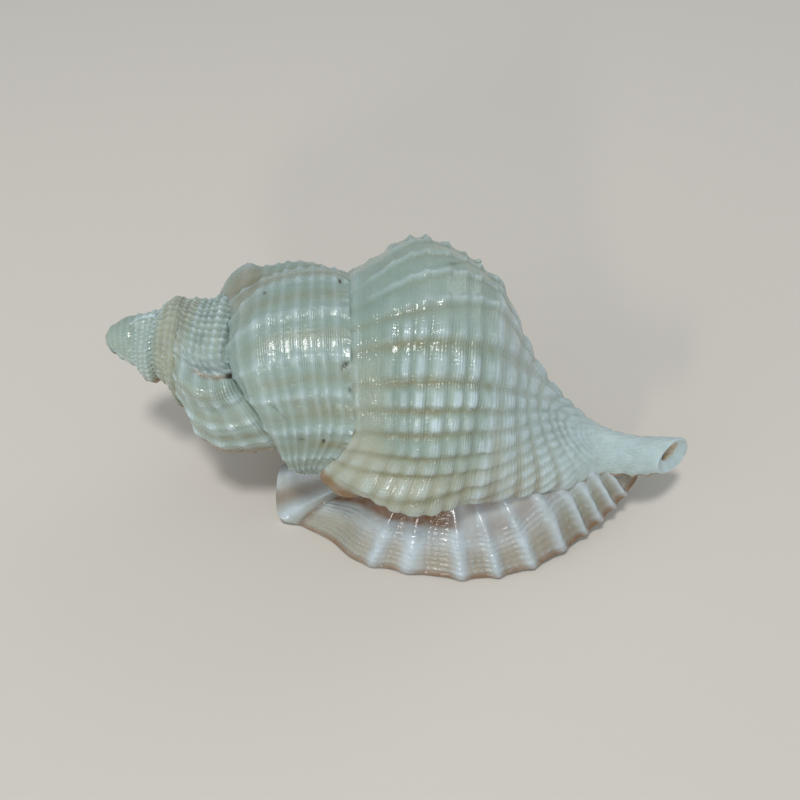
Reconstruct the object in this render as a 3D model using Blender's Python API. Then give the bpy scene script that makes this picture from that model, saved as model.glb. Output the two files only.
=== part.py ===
"""A distorsio seashell lying mouth down, modelled as one grown piece.

The shell coils about a line that runs along +X from the pointed apex to the tip of its siphon canal and
leans down a little on the way. Its skin is one ribbon wound round that line: the front edge of each whorl
is the back edge of the next. A flared shield is joined on under the last whorl, and the mouth, the throat
behind it and the bore of the canal are then cut out.

Angles of growth are in degrees and end at the lip. All sizes below are in millimetres, and the finished
mesh is in metres, with +Z up and the origin under the middle of the shell.
"""

import bmesh
import bpy
import numpy as np

MM = 0.001

# Where the middle of the shell's foot lies from the datum of the sizes below
MIDDLE = np.array((1.43, 1.02, -0.09))

# The line of coiling: where it starts, how it leans, and the stretches where it strays toward one side,
# each as millimetres strayed, distance along the line and half width
APEX_X, APEX_Z = -28.2, 15.7
LEAN = np.radians(8.0)
BULGE_TOWARD = np.radians(221.0)
BULGES = ((-1.15, 6.6, 2.2), (1.6, 12.5, 4.0), (-2.2, 25.0, 9.0), (-1.0, 38.0, 6.0), (0.9, 52.0, 5.5))
TIP_BEND, TIP_BEND_SPAN = 0.5, (54.0, 60.0)

# The winding, in degrees of growth
TURN = 360.0
FIRST_GROWTH, LAST_GROWTH = -2260.0, 10.0
ROW_STEP = 10.0
APEX_BEFORE = -0.25
LIP_ANGLE = 200.0

# The ridges left by earlier lips
VARIX_STEP = 255.0
VARIX_SHIFT, VARIX_WIDTH = 12.0, 9.0
VARIX_HEIGHT, LAST_VARIX_HEIGHT = 0.16, 0.12
YOUNG_VARIX, YOUNG_VARIX_SPAN = 0.1, (-980.0, -860.0)

# The radius of the whorls, their swelling between ridges and their shrinking toward the lip
BODY_RADIUS = 13.46
BODY_WIDEST = -159.0
RADIUS_GROWTH, RADIUS_SLOWING = 0.30, 0.016
SWELL, SWELL_STAGE, SWELL_SPAN = 0.05, 0.33, (-1500.0, -600.0)
SHRINK, SHRINK_SPAN = 0.17, (-130.0, -25.0)
FURROW_DEPTH, FURROW_SPAN, FURROW_ACROSS = 2.6, (-8.0, 10.0), (0.15, 0.5)

# The seam between whorls, with its droop on the turn before the last, and its steps back on the last turn
# and at the lip
SEAM_START, SEAM_SPAN, SEAM_RATIO = 4.1, 21.7, 2.26
SEAM_MEASURED = -68.0
EARLY_TURNS, EARLY_POWER = 5.1, 3.4
DROOP, DROOP_SPAN, DROOP_END = 5.0, (-452.0, -345.0), -180.0
LAST_BACK, LAST_BACK_SPAN = 0.55, (-160.0, -110.0)
RISE, RISE_SPAN = 5.0, (-45.0, 8.0)

# The band of each whorl: the young whorls are cones, the middle ones boxy, and the last one round
YOUNG_SPAN, LAST_SPAN = (-780.0, -480.0), (-330.0, -230.0)
SEAM_RADIUS, YOUNG_SEAM_RADIUS = 0.93, 0.96
HIGH_SEAM, HIGH_SEAM_FROM, HIGH_SEAM_TO = 0.04, (-700.0, -560.0), (-350.0, -200.0)
EDGE_NARROWS, EDGE_SPAN = 0.06, (-360.0, -200.0)
SHOULDER, YOUNG_SHOULDER, LAST_SHOULDER, RIDGE_SHOULDER = 0.38, 0.82, 0.56, 0.22
SHOULDER_POWER, YOUNG_POWER, LAST_POWER, RIDGE_POWER = 3.3, 1.3, 2.1, 5.5
BAND_COLUMNS = 8

# The base and the canal
BASE_FROM, BASE_FROM_AT, BASE_FROM_RISE = 36.3, -160.0, 2.0
BASE_REACH, LIP_REACH, REACH_SPAN = 0.27, 0.42, (-120.0, -10.0)
LIP_SPREAD, LIP_SPREAD_SPAN = 0.10, (-50.0, 5.0)
BASE_POWER = 1.5
BASE_COLUMNS = 13
TIP_REACH, TIP_SLANT, TIP_SLANT_TOWARD = 57.9, 1.9, np.radians(145.0)
TIP_SINKS = np.array((-0.7, 0.0, -0.4))
CANAL_RADIUS, CANAL_TAPER, CANAL_FADES, CANAL_JOINS = 2.7, 0.85, 0.5, 0.8

# The shield: points on its edge, from the ear along the lip to the canal and back under the far side
SHIELD_EDGE = (
    (-9.9, -8.6, 0.3), (-7.4, -9.3, 0.1), (-4.2, -10.5, 0.0), (-1.0, -12.4, 0.0), (3.5, -12.9, 0.0),
    (10.6, -12.7, 0.0), (16.9, -10.4, 0.2), (22.0, -5.9, 1.0), (25.0, -2.9, 3.2), (26.2, -1.0, 4.9),
    (25.0, 0.9, 4.4), (20.0, 4.2, 2.4), (13.0, 9.2, 0.5), (4.0, 12.2, 0.0), (-4.0, 10.6, 0.0),
    (-7.6, 5.6, 1.4), (-7.2, 0.6, 2.4), (-10.5, -4.7, 2.6),
)
SHIELD_CENTRE = (6.0, -2.0)
SHIELD_RINGS = (0.25, 0.5, 0.62, 0.74, 0.86, 0.94)
SHIELD_THICK, EDGE_THICK = 0.9, 0.35
CORE_RING, CORE_BLEND, CORE_TOP = 0.62, 0.4, 9.0
SKIRT_HEIGHT, FAR_HEIGHT = 6.8, 1.6
SKIRT_BREADTH, SKIRT_POWER = 0.42, 1.05
SKIRT_HOLLOW, FAR_HOLLOW = 2.6, 0.9
SKIRT_Y_SPAN, SKIRT_X_SPAN = (-4.0, 7.0), (-12.0, -1.0)
FLUSH, FLUSH_FROM, FLUSH_TO, FLUSH_ACROSS = 2.5, (5.5, 6.7), (8.5, 9.2), 0.17
EDGE_POINTS = 72

# The mouth and throat: height, depth toward the lip, tilt in degrees, half length, half width
THROAT_X = 5.4
THROAT = (
    (-3.0, -4.7, 0.0, 8.9, 3.1), (1.0, -4.7, 0.0, 8.5, 2.9), (3.6, -4.7, 5.0, 8.1, 2.7),
    (6.4, -4.6, 12.0, 7.6, 2.6), (9.9, -4.9, 20.0, 7.0, 3.1), (14.4, -5.2, -20.0, 6.8, 4.2),
    (17.8, -2.3, -60.0, 6.0, 3.8), (18.8, 0.8, -90.0, 4.6, 3.0), (18.4, 3.2, -110.0, 2.6, 1.8),
)
THROAT_SIDES = 24

# The bore and slit of the canal
BORE_FROM, BORE_TO = 38.0, 62.0
BORE_WIDE, BORE_NARROW, BORE_TAPERS = 0.9, 0.5, (40.0, 56.0)
SLIT_DEPTH, SLIT_LEAST, SLIT_ENDS = 9.0, 0.95, (52.0, 56.5)
BORE_START, BORE_CENTRES = np.array((0.0, -5.0, -4.5)), (40.0, 54.0)
BORE_FLARE, BORE_RISE, BORE_FLARES = 0.4, np.array((0.0, 0.25, 0.3)), (54.5, 57.0)
BORE_ARC = np.radians((-60.0, 240.0))
BORE_STATIONS, BORE_SIDES = 13, 10


def ramp(value, low, high):
    """Smooth step from 0 at low to 1 at high."""
    t = np.clip((value - low) / (high - low), 0.0, 1.0)
    return t * t * (3.0 - 2.0 * t)


def hump(value, middle, half_width):
    """Bell curve of height 1 round middle."""
    return np.exp(-(((value - middle) / half_width) ** 2))


def axis_drift(along):
    """How far the coiling line strays, because the whorls of this shell are lopsided."""
    drift = sum(amount * hump(along, middle, width) for amount, middle, width in BULGES)
    drift = drift - TIP_BEND * ramp(along, *TIP_BEND_SPAN)
    return drift * np.cos(BULGE_TOWARD), drift * np.sin(BULGE_TOWARD)


def varix(growth):
    """Ridges left by earlier lips, one every VARIX_STEP of growth."""
    off = np.mod(growth + VARIX_STEP / 2.0, VARIX_STEP) - VARIX_STEP / 2.0
    return hump(off, -VARIX_SHIFT, VARIX_WIDTH)


def whorl_radius(growth):
    """Widest radius of the whorl: it grows each turn, swells between ridges and shrinks at the lip."""
    turns = (growth - BODY_WIDEST) / TURN
    radius = BODY_RADIUS * np.exp(RADIUS_GROWTH * turns - RADIUS_SLOWING * turns * turns)
    stage = np.mod(growth, VARIX_STEP) / VARIX_STEP
    swell = SWELL * np.cos(2.0 * np.pi * (stage - SWELL_STAGE)) * ramp(growth, *SWELL_SPAN)
    return radius * (1.0 + swell) * (1.0 - SHRINK * ramp(growth, *SHRINK_SPAN))


def furrow(growth):
    """Depth of the groove in front of the last ridge, where the lip starts to flare."""
    return FURROW_DEPTH * ramp(growth, *FURROW_SPAN)


def seam_along(growth):
    """Distance from the apex to the seam above the whorl."""
    turns = (growth - SEAM_MEASURED) / TURN
    start = SEAM_START * (1.0 - np.clip(-turns / EARLY_TURNS, 0.0, 1.0) ** EARLY_POWER)
    droop = DROOP * ramp(growth, *DROOP_SPAN) * (1.0 - ramp(growth, DROOP_SPAN[1], DROOP_END))
    back = LAST_BACK * ramp(growth, *LAST_BACK_SPAN) + RISE * ramp(growth, *RISE_SPAN)
    return SEAM_SPAN * SEAM_RATIO**turns + start + droop - back


def seam_share(growth):
    """Share of its widest radius at which a whorl meets the next one."""
    young = 1.0 - ramp(growth + TURN, *YOUNG_SPAN)
    high = HIGH_SEAM * ramp(growth, *HIGH_SEAM_FROM) * (1.0 - ramp(growth, *HIGH_SEAM_TO))
    return SEAM_RADIUS + (YOUNG_SEAM_RADIUS - SEAM_RADIUS) * young + high


def front_edge(growth):
    """Distance along and radius where the band of a whorl ends and the next whorl, or the base, starts."""
    start = seam_along(LAST_GROWTH)
    free = start + (BASE_FROM - start) * ramp(growth, LAST_GROWTH - TURN, BASE_FROM_AT)
    free = free + BASE_FROM_RISE * ramp(growth, BASE_FROM_AT, 0.0)
    along = np.where(growth <= LAST_GROWTH - TURN, seam_along(growth + TURN), free)
    share = seam_share(growth) - EDGE_NARROWS * ramp(growth, *EDGE_SPAN)
    return along, share * whorl_radius(growth) - furrow(growth)


def band(growth, across):
    """Section of the whorl's visible band, from its seam (0) over the shoulder to its front edge (1)."""
    young, last = 1.0 - ramp(growth, *YOUNG_SPAN), ramp(growth, *LAST_SPAN)
    ridge = varix(growth)

    def blend(middle, youngest, final, ridged):
        """Value for this growth, from the values of each sort of whorl."""
        return (
            middle + (youngest - middle) * young + (final - middle) * last
            + (ridged - middle) * ridge * (1.0 - last)
        )

    start = seam_along(growth)
    start_radius = seam_share(growth - TURN) * whorl_radius(growth - TURN)
    end, end_radius = front_edge(growth)
    height = VARIX_HEIGHT + (LAST_VARIX_HEIGHT - VARIX_HEIGHT) * last
    height = height * (YOUNG_VARIX + (1.0 - YOUNG_VARIX) * ramp(growth, *YOUNG_VARIX_SPAN))
    peak_radius = whorl_radius(growth) * (1.0 + height * ridge)
    peak_radius = peak_radius - furrow(growth) * ramp(across, *FURROW_ACROSS)
    peak = blend(SHOULDER, YOUNG_SHOULDER, LAST_SHOULDER, RIDGE_SHOULDER)
    rise = np.clip(1.0 - across / peak, 0.0, 1.0)
    rise = rise ** blend(SHOULDER_POWER, YOUNG_POWER, LAST_POWER, RIDGE_POWER)
    fall = np.clip((across - peak) / (1.0 - peak), 0.0, 1.0) ** 2.0
    radius = peak_radius - (peak_radius - start_radius) * rise - (peak_radius - end_radius) * fall
    return start + (end - start) * across, radius


def base(growth, across):
    """Section of the base, from the band's front edge (0) down the neck to the slanted canal tip (1)."""
    start, start_radius = front_edge(growth)
    tip = TIP_REACH - TIP_SLANT * np.cos(np.radians(LIP_ANGLE + growth) - TIP_SLANT_TOWARD)
    canal = CANAL_RADIUS - CANAL_TAPER * across
    reach = BASE_REACH + (LIP_REACH - BASE_REACH) * ramp(growth, *REACH_SPAN)
    reach = reach + LIP_SPREAD * ramp(growth, *LIP_SPREAD_SPAN)
    neck = ramp(across, CANAL_FADES, CANAL_JOINS)
    fade = np.exp(-((across / reach) ** BASE_POWER)) * (1.0 - neck)
    radius = canal + (start_radius - canal) * fade
    start = start + (BASE_FROM - start) * neck
    return start + (tip - start) * across, radius


def place(along, radius, growth):
    """Turn distance along the line, radius and growth angle into x, y, z."""
    angle = np.radians(LIP_ANGLE + growth)
    drift_y, drift_up = axis_drift(along)
    y = drift_y + radius * np.cos(angle)
    up = drift_up + radius * np.sin(angle)
    x = APEX_X + along * np.cos(LEAN) + up * np.sin(LEAN)
    z = APEX_Z - along * np.sin(LEAN) + up * np.cos(LEAN)
    return np.stack(np.broadcast_arrays(x, y, z), axis=-1)


def new_object(name, points, faces):
    """Make an object of points in millimetres, with its faces turned outward."""
    mesh = bpy.data.meshes.new(name)
    mesh.from_pydata(((points - MIDDLE) * MM).tolist(), [], faces)
    work = bmesh.new()
    work.from_mesh(mesh)
    bmesh.ops.recalc_face_normals(work, faces=work.faces)
    bmesh.ops.triangulate(work, faces=work.faces)
    work.to_mesh(mesh)
    work.free()
    thing = bpy.data.objects.new(name, mesh)
    bpy.context.collection.objects.link(thing)
    return thing


def strip(left, right):
    """Quads between two lists of vertex numbers of the same length."""
    return [
        tuple(dict.fromkeys((left[i], left[i + 1], right[i + 1], right[i])))
        for i in range(len(left) - 1)
    ]


def make_whorls():
    """The coiled body as one closed skin, flat where the lip will be."""
    growth = np.arange(FIRST_GROWTH, LAST_GROWTH + 0.5 * ROW_STEP, ROW_STEP)
    rows, per_turn = len(growth), round(TURN / ROW_STEP)
    across = np.linspace(0.0, 1.0, BAND_COLUMNS + 1)
    along, radius = band(growth[:, None], across[None, :])
    skin = place(along, radius, growth[:, None])
    lower = np.linspace(0.0, 1.0, BASE_COLUMNS + 1)
    last_turn = growth[rows - 1 - per_turn:]
    along, radius = base(last_turn[:, None], lower[None, :])
    neck = place(along, radius, last_turn[:, None])

    points = list(skin[:, :-1].reshape(-1, 3))
    band_ids = [[row * BAND_COLUMNS + column for column in range(BAND_COLUMNS)] for row in range(rows)]
    base_start = len(points)
    points += list(neck[:-1].reshape(-1, 3))
    width = BASE_COLUMNS + 1
    base_ids = [[base_start + row * width + column for column in range(width)] for row in range(per_turn)]
    end_start = len(points)
    points += list(neck[-1])
    base_ids.append([end_start + column for column in range(width)])
    joined = np.searchsorted(lower, CANAL_JOINS - 1e-9)
    base_ids[per_turn][joined:] = base_ids[0][joined:]
    base_ids[0][0] = band_ids[rows - 1][0]

    faces = []
    covered = rows - per_turn
    for row, ids in enumerate(band_ids):
        below = band_ids[row + per_turn] if row < covered else base_ids[row - covered + 1]
        ids.append(below[0])
    for row in range(rows - 1):
        faces += strip(band_ids[row], band_ids[row + 1])
    for row in range(per_turn):
        faces += strip(base_ids[row], base_ids[row + 1])

    tip_middle = len(points)
    tip_ring = np.array([points[ids[-1]] for ids in base_ids[:-1]])
    points.append(tip_ring.mean(axis=0) + TIP_SINKS)
    for row in range(per_turn):
        faces.append((base_ids[row][-1], base_ids[row + 1][-1], tip_middle))

    apex = len(points)
    points.append(place(APEX_BEFORE, 0.0, FIRST_GROWTH))
    rim = [band_ids[row][0] for row in range(per_turn + 1)] + band_ids[0][-2:0:-1]
    for left, right in zip(rim, rim[1:] + rim[:1]):
        faces.append((left, right, apex))

    outer = band_ids[rows - 1] + base_ids[per_turn][1:joined + 1]
    inner = base_ids[0][1:joined]
    faces.append(tuple(outer + inner[::-1]))
    return new_object("shell", np.array(points), faces)


def shield_edge(count):
    """Smooth closed curve through the edge points, as count points (periodic Catmull-Rom)."""
    knots = np.array(SHIELD_EDGE)
    place_on = np.arange(count) * len(knots) / count
    first = place_on.astype(int)
    t = (place_on - first)[:, None]
    p0, p1, p2, p3 = (knots[(first + step) % len(knots)] for step in (-1, 0, 1, 2))
    return 0.5 * (
        2.0 * p1 + (p2 - p0) * t + (2.0 * p0 - 5.0 * p1 + 4.0 * p2 - p3) * t**2
        + (3.0 * p1 - p0 - 3.0 * p2 + p3) * t**3
    )


def make_shield():
    """The flared plate round the mouth: a skirt under the lip and a flat callus under the far side."""
    edge = shield_edge(EDGE_POINTS)
    centre = np.array((*SHIELD_CENTRE, 0.0))
    skirt = ramp(-edge[:, 1], *SKIRT_Y_SPAN) * ramp(edge[:, 0], *SKIRT_X_SPAN)
    height = FAR_HEIGHT + (SKIRT_HEIGHT - FAR_HEIGHT) * skirt
    hollow = FAR_HOLLOW + (SKIRT_HOLLOW - FAR_HOLLOW) * skirt
    knots = np.arange(EDGE_POINTS) * len(SHIELD_EDGE) / EDGE_POINTS
    flush = FLUSH * ramp(knots, *FLUSH_FROM) * (1.0 - ramp(knots, *FLUSH_TO))
    rings, faces = [], []
    for share in SHIELD_RINGS:
        ring = centre + (edge - centre) * share
        climb = ((1.0 - share) / SKIRT_BREADTH) ** SKIRT_POWER
        core = ramp(CORE_RING - share, 0.0, CORE_BLEND)
        ring[:, 2] = edge[:, 2] * (1.0 - core) + SHIELD_THICK * (1.0 - 0.5 * share)
        ring[:, 2] += (1.0 - core) * height * climb + core * CORE_TOP
        ring[:, 2] += (1.0 - core) * flush * ramp(1.0 - share, 0.0, FLUSH_ACROSS)
        rings.append(ring)
    rings.append(edge + np.array((0.0, 0.0, EDGE_THICK)))
    rings.append(edge)
    for share in reversed(SHIELD_RINGS):
        ring = centre + (edge - centre) * share
        ring[:, 2] = edge[:, 2] * share**2 + (1.0 - share**2) * hollow
        rings.append(ring)
    points = [np.array((*SHIELD_CENTRE, CORE_TOP + SHIELD_THICK))]
    for ring in rings:
        points += list(ring)
    points.append(np.array((*SHIELD_CENTRE, rings[-1][:, 2].mean())))
    ids = [
        [1 + level * EDGE_POINTS + i % EDGE_POINTS for i in range(EDGE_POINTS + 1)]
        for level in range(len(rings))
    ]
    for upper, lower in zip(ids, ids[1:]):
        faces += strip(upper, lower)
    for i in range(EDGE_POINTS):
        faces.append((0, ids[0][i], ids[0][i + 1]))
        faces.append((len(points) - 1, ids[-1][i + 1], ids[-1][i]))
    return new_object("shield", np.array(points), faces)


def closed_loft(name, sections):
    """Skin over a list of closed sections, with flat ends."""
    count = len(sections[0])
    points = np.concatenate(sections)
    ids = [[level * count + i % count for i in range(count + 1)] for level in range(len(sections))]
    faces = [tuple(ids[0][:-1]), tuple(ids[-1][:-1])]
    for upper, lower in zip(ids, ids[1:]):
        faces += strip(upper, lower)
    return new_object(name, points, faces)


def make_throat():
    """Cutter for the mouth and the hollow behind it: ovals carried up and round inside the last whorl."""
    turn = np.linspace(0.0, 2.0 * np.pi, THROAT_SIDES, endpoint=False)
    sections = []
    for z, y, tilt, half_length, half_width in THROAT:
        side = np.radians(tilt)
        offset = half_width * np.sin(turn)
        x = THROAT_X + half_length * np.cos(turn)
        sections.append(np.stack((x, y + offset * np.cos(side), z + offset * np.sin(side)), axis=1))
    return closed_loft("throat", sections)


def make_bore():
    """Cutter for the canal: a tube along the neck that flares at the tip, with a slit below it short of there."""
    arc = np.linspace(*BORE_ARC, BORE_SIDES)
    sections = []
    for along in np.linspace(BORE_FROM, BORE_TO, BORE_STATIONS):
        flare = ramp(along, *BORE_FLARES)
        radius = BORE_WIDE + (BORE_NARROW - BORE_WIDE) * ramp(along, *BORE_TAPERS) + BORE_FLARE * flare
        depth = SLIT_LEAST * radius + SLIT_DEPTH * (1.0 - ramp(along, *SLIT_ENDS))
        x, y, z = place(along, 0.0, 0.0) + BORE_START * (1.0 - ramp(along, *BORE_CENTRES)) + BORE_RISE * flare
        tube = [(x, y + radius * np.cos(a), z + radius * np.sin(a)) for a in arc]
        slit = [(x, y + side * radius, z - depth) for side in (-0.5, 0.5)]
        sections.append(np.array(tube + slit))
    return closed_loft("canal_bore", sections)


def combine(target, tool, operation):
    """Join or cut one closed mesh with another, and keep the result on the target."""
    modifier = target.modifiers.new(operation.title(), "BOOLEAN")
    modifier.operation = operation
    modifier.object = tool
    modifier.solver = "EXACT"
    tool.hide_render = True
    tool.display_type = "WIRE"


def shell_material():
    """Cream-white, faintly green, softly glossy."""
    material = bpy.data.materials.new("shell")
    material.use_nodes = True
    surface = material.node_tree.nodes["Principled BSDF"]
    surface.inputs["Base Color"].default_value = (0.62, 0.60, 0.48, 1.0)
    surface.inputs["Roughness"].default_value = 0.4
    surface.inputs["Metallic"].default_value = 0.0
    return material


def main():
    for thing in list(bpy.data.objects):
        bpy.data.objects.remove(thing, do_unlink=True)
    shell = make_whorls()
    combine(shell, make_shield(), "UNION")
    combine(shell, make_throat(), "DIFFERENCE")
    combine(shell, make_bore(), "DIFFERENCE")
    shell.data.materials.append(shell_material())


main()
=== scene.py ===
"""A distorsio seashell lying mouth down: its sculptured surface, its finishes and the studio round it.

The shell is one grown piece. Its skin is a ribbon wound about a leaning line: every row of the ribbon has an
angle of growth in degrees, which ends near 0 at the lip, and every point of a row has a station, which runs
from 0 at the seam above the whorl to 1 at the front edge of the band, and on to 2 at the tip of the canal on
the last turn. Sizes are in millimetres until a mesh is made, which is in metres.
"""

from __future__ import annotations

import logging
import math
from dataclasses import dataclass, field
from enum import Enum, auto

import bmesh
import bpy
import numpy as np
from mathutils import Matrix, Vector
from numpy.typing import NDArray

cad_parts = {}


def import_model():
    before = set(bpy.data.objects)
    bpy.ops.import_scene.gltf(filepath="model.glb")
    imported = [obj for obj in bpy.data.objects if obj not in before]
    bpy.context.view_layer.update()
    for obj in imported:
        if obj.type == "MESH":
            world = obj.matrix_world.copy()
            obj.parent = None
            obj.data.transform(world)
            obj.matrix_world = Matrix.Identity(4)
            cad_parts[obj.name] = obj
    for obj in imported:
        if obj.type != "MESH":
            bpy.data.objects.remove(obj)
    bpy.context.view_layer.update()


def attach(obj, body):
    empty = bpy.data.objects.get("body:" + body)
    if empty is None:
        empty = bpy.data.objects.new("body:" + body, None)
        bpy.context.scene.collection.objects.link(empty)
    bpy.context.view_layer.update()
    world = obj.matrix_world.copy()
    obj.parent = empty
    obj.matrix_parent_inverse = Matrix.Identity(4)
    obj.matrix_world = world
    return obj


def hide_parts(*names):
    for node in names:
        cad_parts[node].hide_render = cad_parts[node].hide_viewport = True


Array = NDArray[np.float64]
Colour = tuple[float, float, float]
Span = tuple[float, float]
Four = tuple[float, float, float, float]
Socket = bpy.types.NodeSocket

MM = 0.001
TURN = 360.0
TINY = 1e-9
QUAD = 4
CHANNELS = 4
FULL_BYTE = 255.0
SRGB_FOOT = 0.04045
SRGB_SLOPE = 12.92
SRGB_LIFT = 0.055
SRGB_POWER = 2.4
MIX_COLOURS = (6, 7)
MIX_RESULT = 2
SEED = 11
MIDDLE = (1.43, 1.02, -0.09)
GLAZE_TAN = 0.25
ATTRIBUTES = ("tone", "wear")
COUNTS = "counts"
COLOUR = "NodeSocketColor"
NUMBER = "NodeSocketFloat"
LOG = logging.getLogger("distorsio")


class Finish(Enum):
    """The finishes of the shell, in the order of its material slots."""

    WHORL = 0
    FLANGE = 1
    GLAZE = 2


class Join(Enum):
    """How a tool changes the body."""

    UNION = "UNION"
    DIFFERENCE = "DIFFERENCE"


class Operation(Enum):
    """What a shader's math node does."""

    ADD = "ADD"
    SUBTRACT = "SUBTRACT"
    MULTIPLY = "MULTIPLY"
    SINE = "SINE"
    FRACT = "FRACT"


class Mask(Enum):
    """What each channel of the two mask attributes holds."""

    WHITE = ("tone", 0)
    TAN = ("tone", 1)
    # BROWN holds the shell's brown as well as painted shadow under the lip and painted shade on the
    # undersides; DARK holds the pits' dark and painted shade in the seams.
    BROWN = ("tone", 2)
    DARK = ("tone", 3)
    GREEN = ("wear", 0)
    GLOSS = ("wear", 1)
    THREAD = ("wear", 2)
    YELLOW = ("wear", 3)


def ramp(value: Array, low: float | Array, high: float | Array) -> Array:
    """Smooth step."""
    t = np.clip((value - low) / (high - low), 0.0, 1.0)
    return t * t * (3.0 - 2.0 * t)


def fall(value: Array, low: float | Array, high: float | Array) -> Array:
    """Smooth step down, from 1 at low to 0 at high."""
    return 1.0 - ramp(value, low, high)


def plateau(value: Array, low: float, full: float | Array, fading: float | Array, end: float) -> Array:
    """Smooth step up from low to full and down again from fading to end."""
    return ramp(value, low, full) * fall(value, fading, end)


def hump(value: Array, middle: float | Array, half_width: float | Array) -> Array:
    """Bell curve."""
    return np.exp(-(((value - middle) / half_width) ** 2))


@dataclass(frozen=True)
class CoilLine:
    """The line that the whorls wind about: it leans down toward the canal and strays here and there.

    Each bulge is the millimetres strayed, the distance along the line and the half width of the stretch.
    """

    apex_x: float = -28.2
    apex_z: float = 15.7
    lean: float = math.radians(8.0)
    bulge_toward: float = math.radians(221.0)
    bulges: tuple[tuple[float, float, float], ...] = (
        (-1.15, 6.6, 2.2), (1.6, 12.5, 4.0), (-2.2, 25.0, 9.0), (-1.0, 38.0, 6.0), (0.9, 52.0, 5.5),
    )
    tip_bend: float = 0.5
    tip_bend_span: Span = (54.0, 60.0)
    lip_angle: float = 200.0

    def place(self, along: Array, radius: Array, growth: Array) -> Array:
        """Place points given round the line.

        The point lies radius away from the strayed line at the angle of growth plus the lip's angle, and the
        whole is then turned down by the lean.

        Args:
            along: Distances from the apex.
            radius: Distances from the line.
            growth: Angles of growth in degrees.

        Returns:
            Points, with x, y and z on the last axis.
        """
        drift = sum(amount * hump(along, middle, width) for amount, middle, width in self.bulges)
        drift = drift - self.tip_bend * ramp(along, *self.tip_bend_span)
        angle = np.radians(self.lip_angle + growth)
        y = drift * math.cos(self.bulge_toward) + radius * np.cos(angle)
        up = drift * math.sin(self.bulge_toward) + radius * np.sin(angle)
        x = self.apex_x + along * math.cos(self.lean) + up * math.sin(self.lean)
        z = self.apex_z - along * math.sin(self.lean) + up * math.cos(self.lean)
        return np.stack(np.broadcast_arrays(x, y, z), axis=-1)


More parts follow.
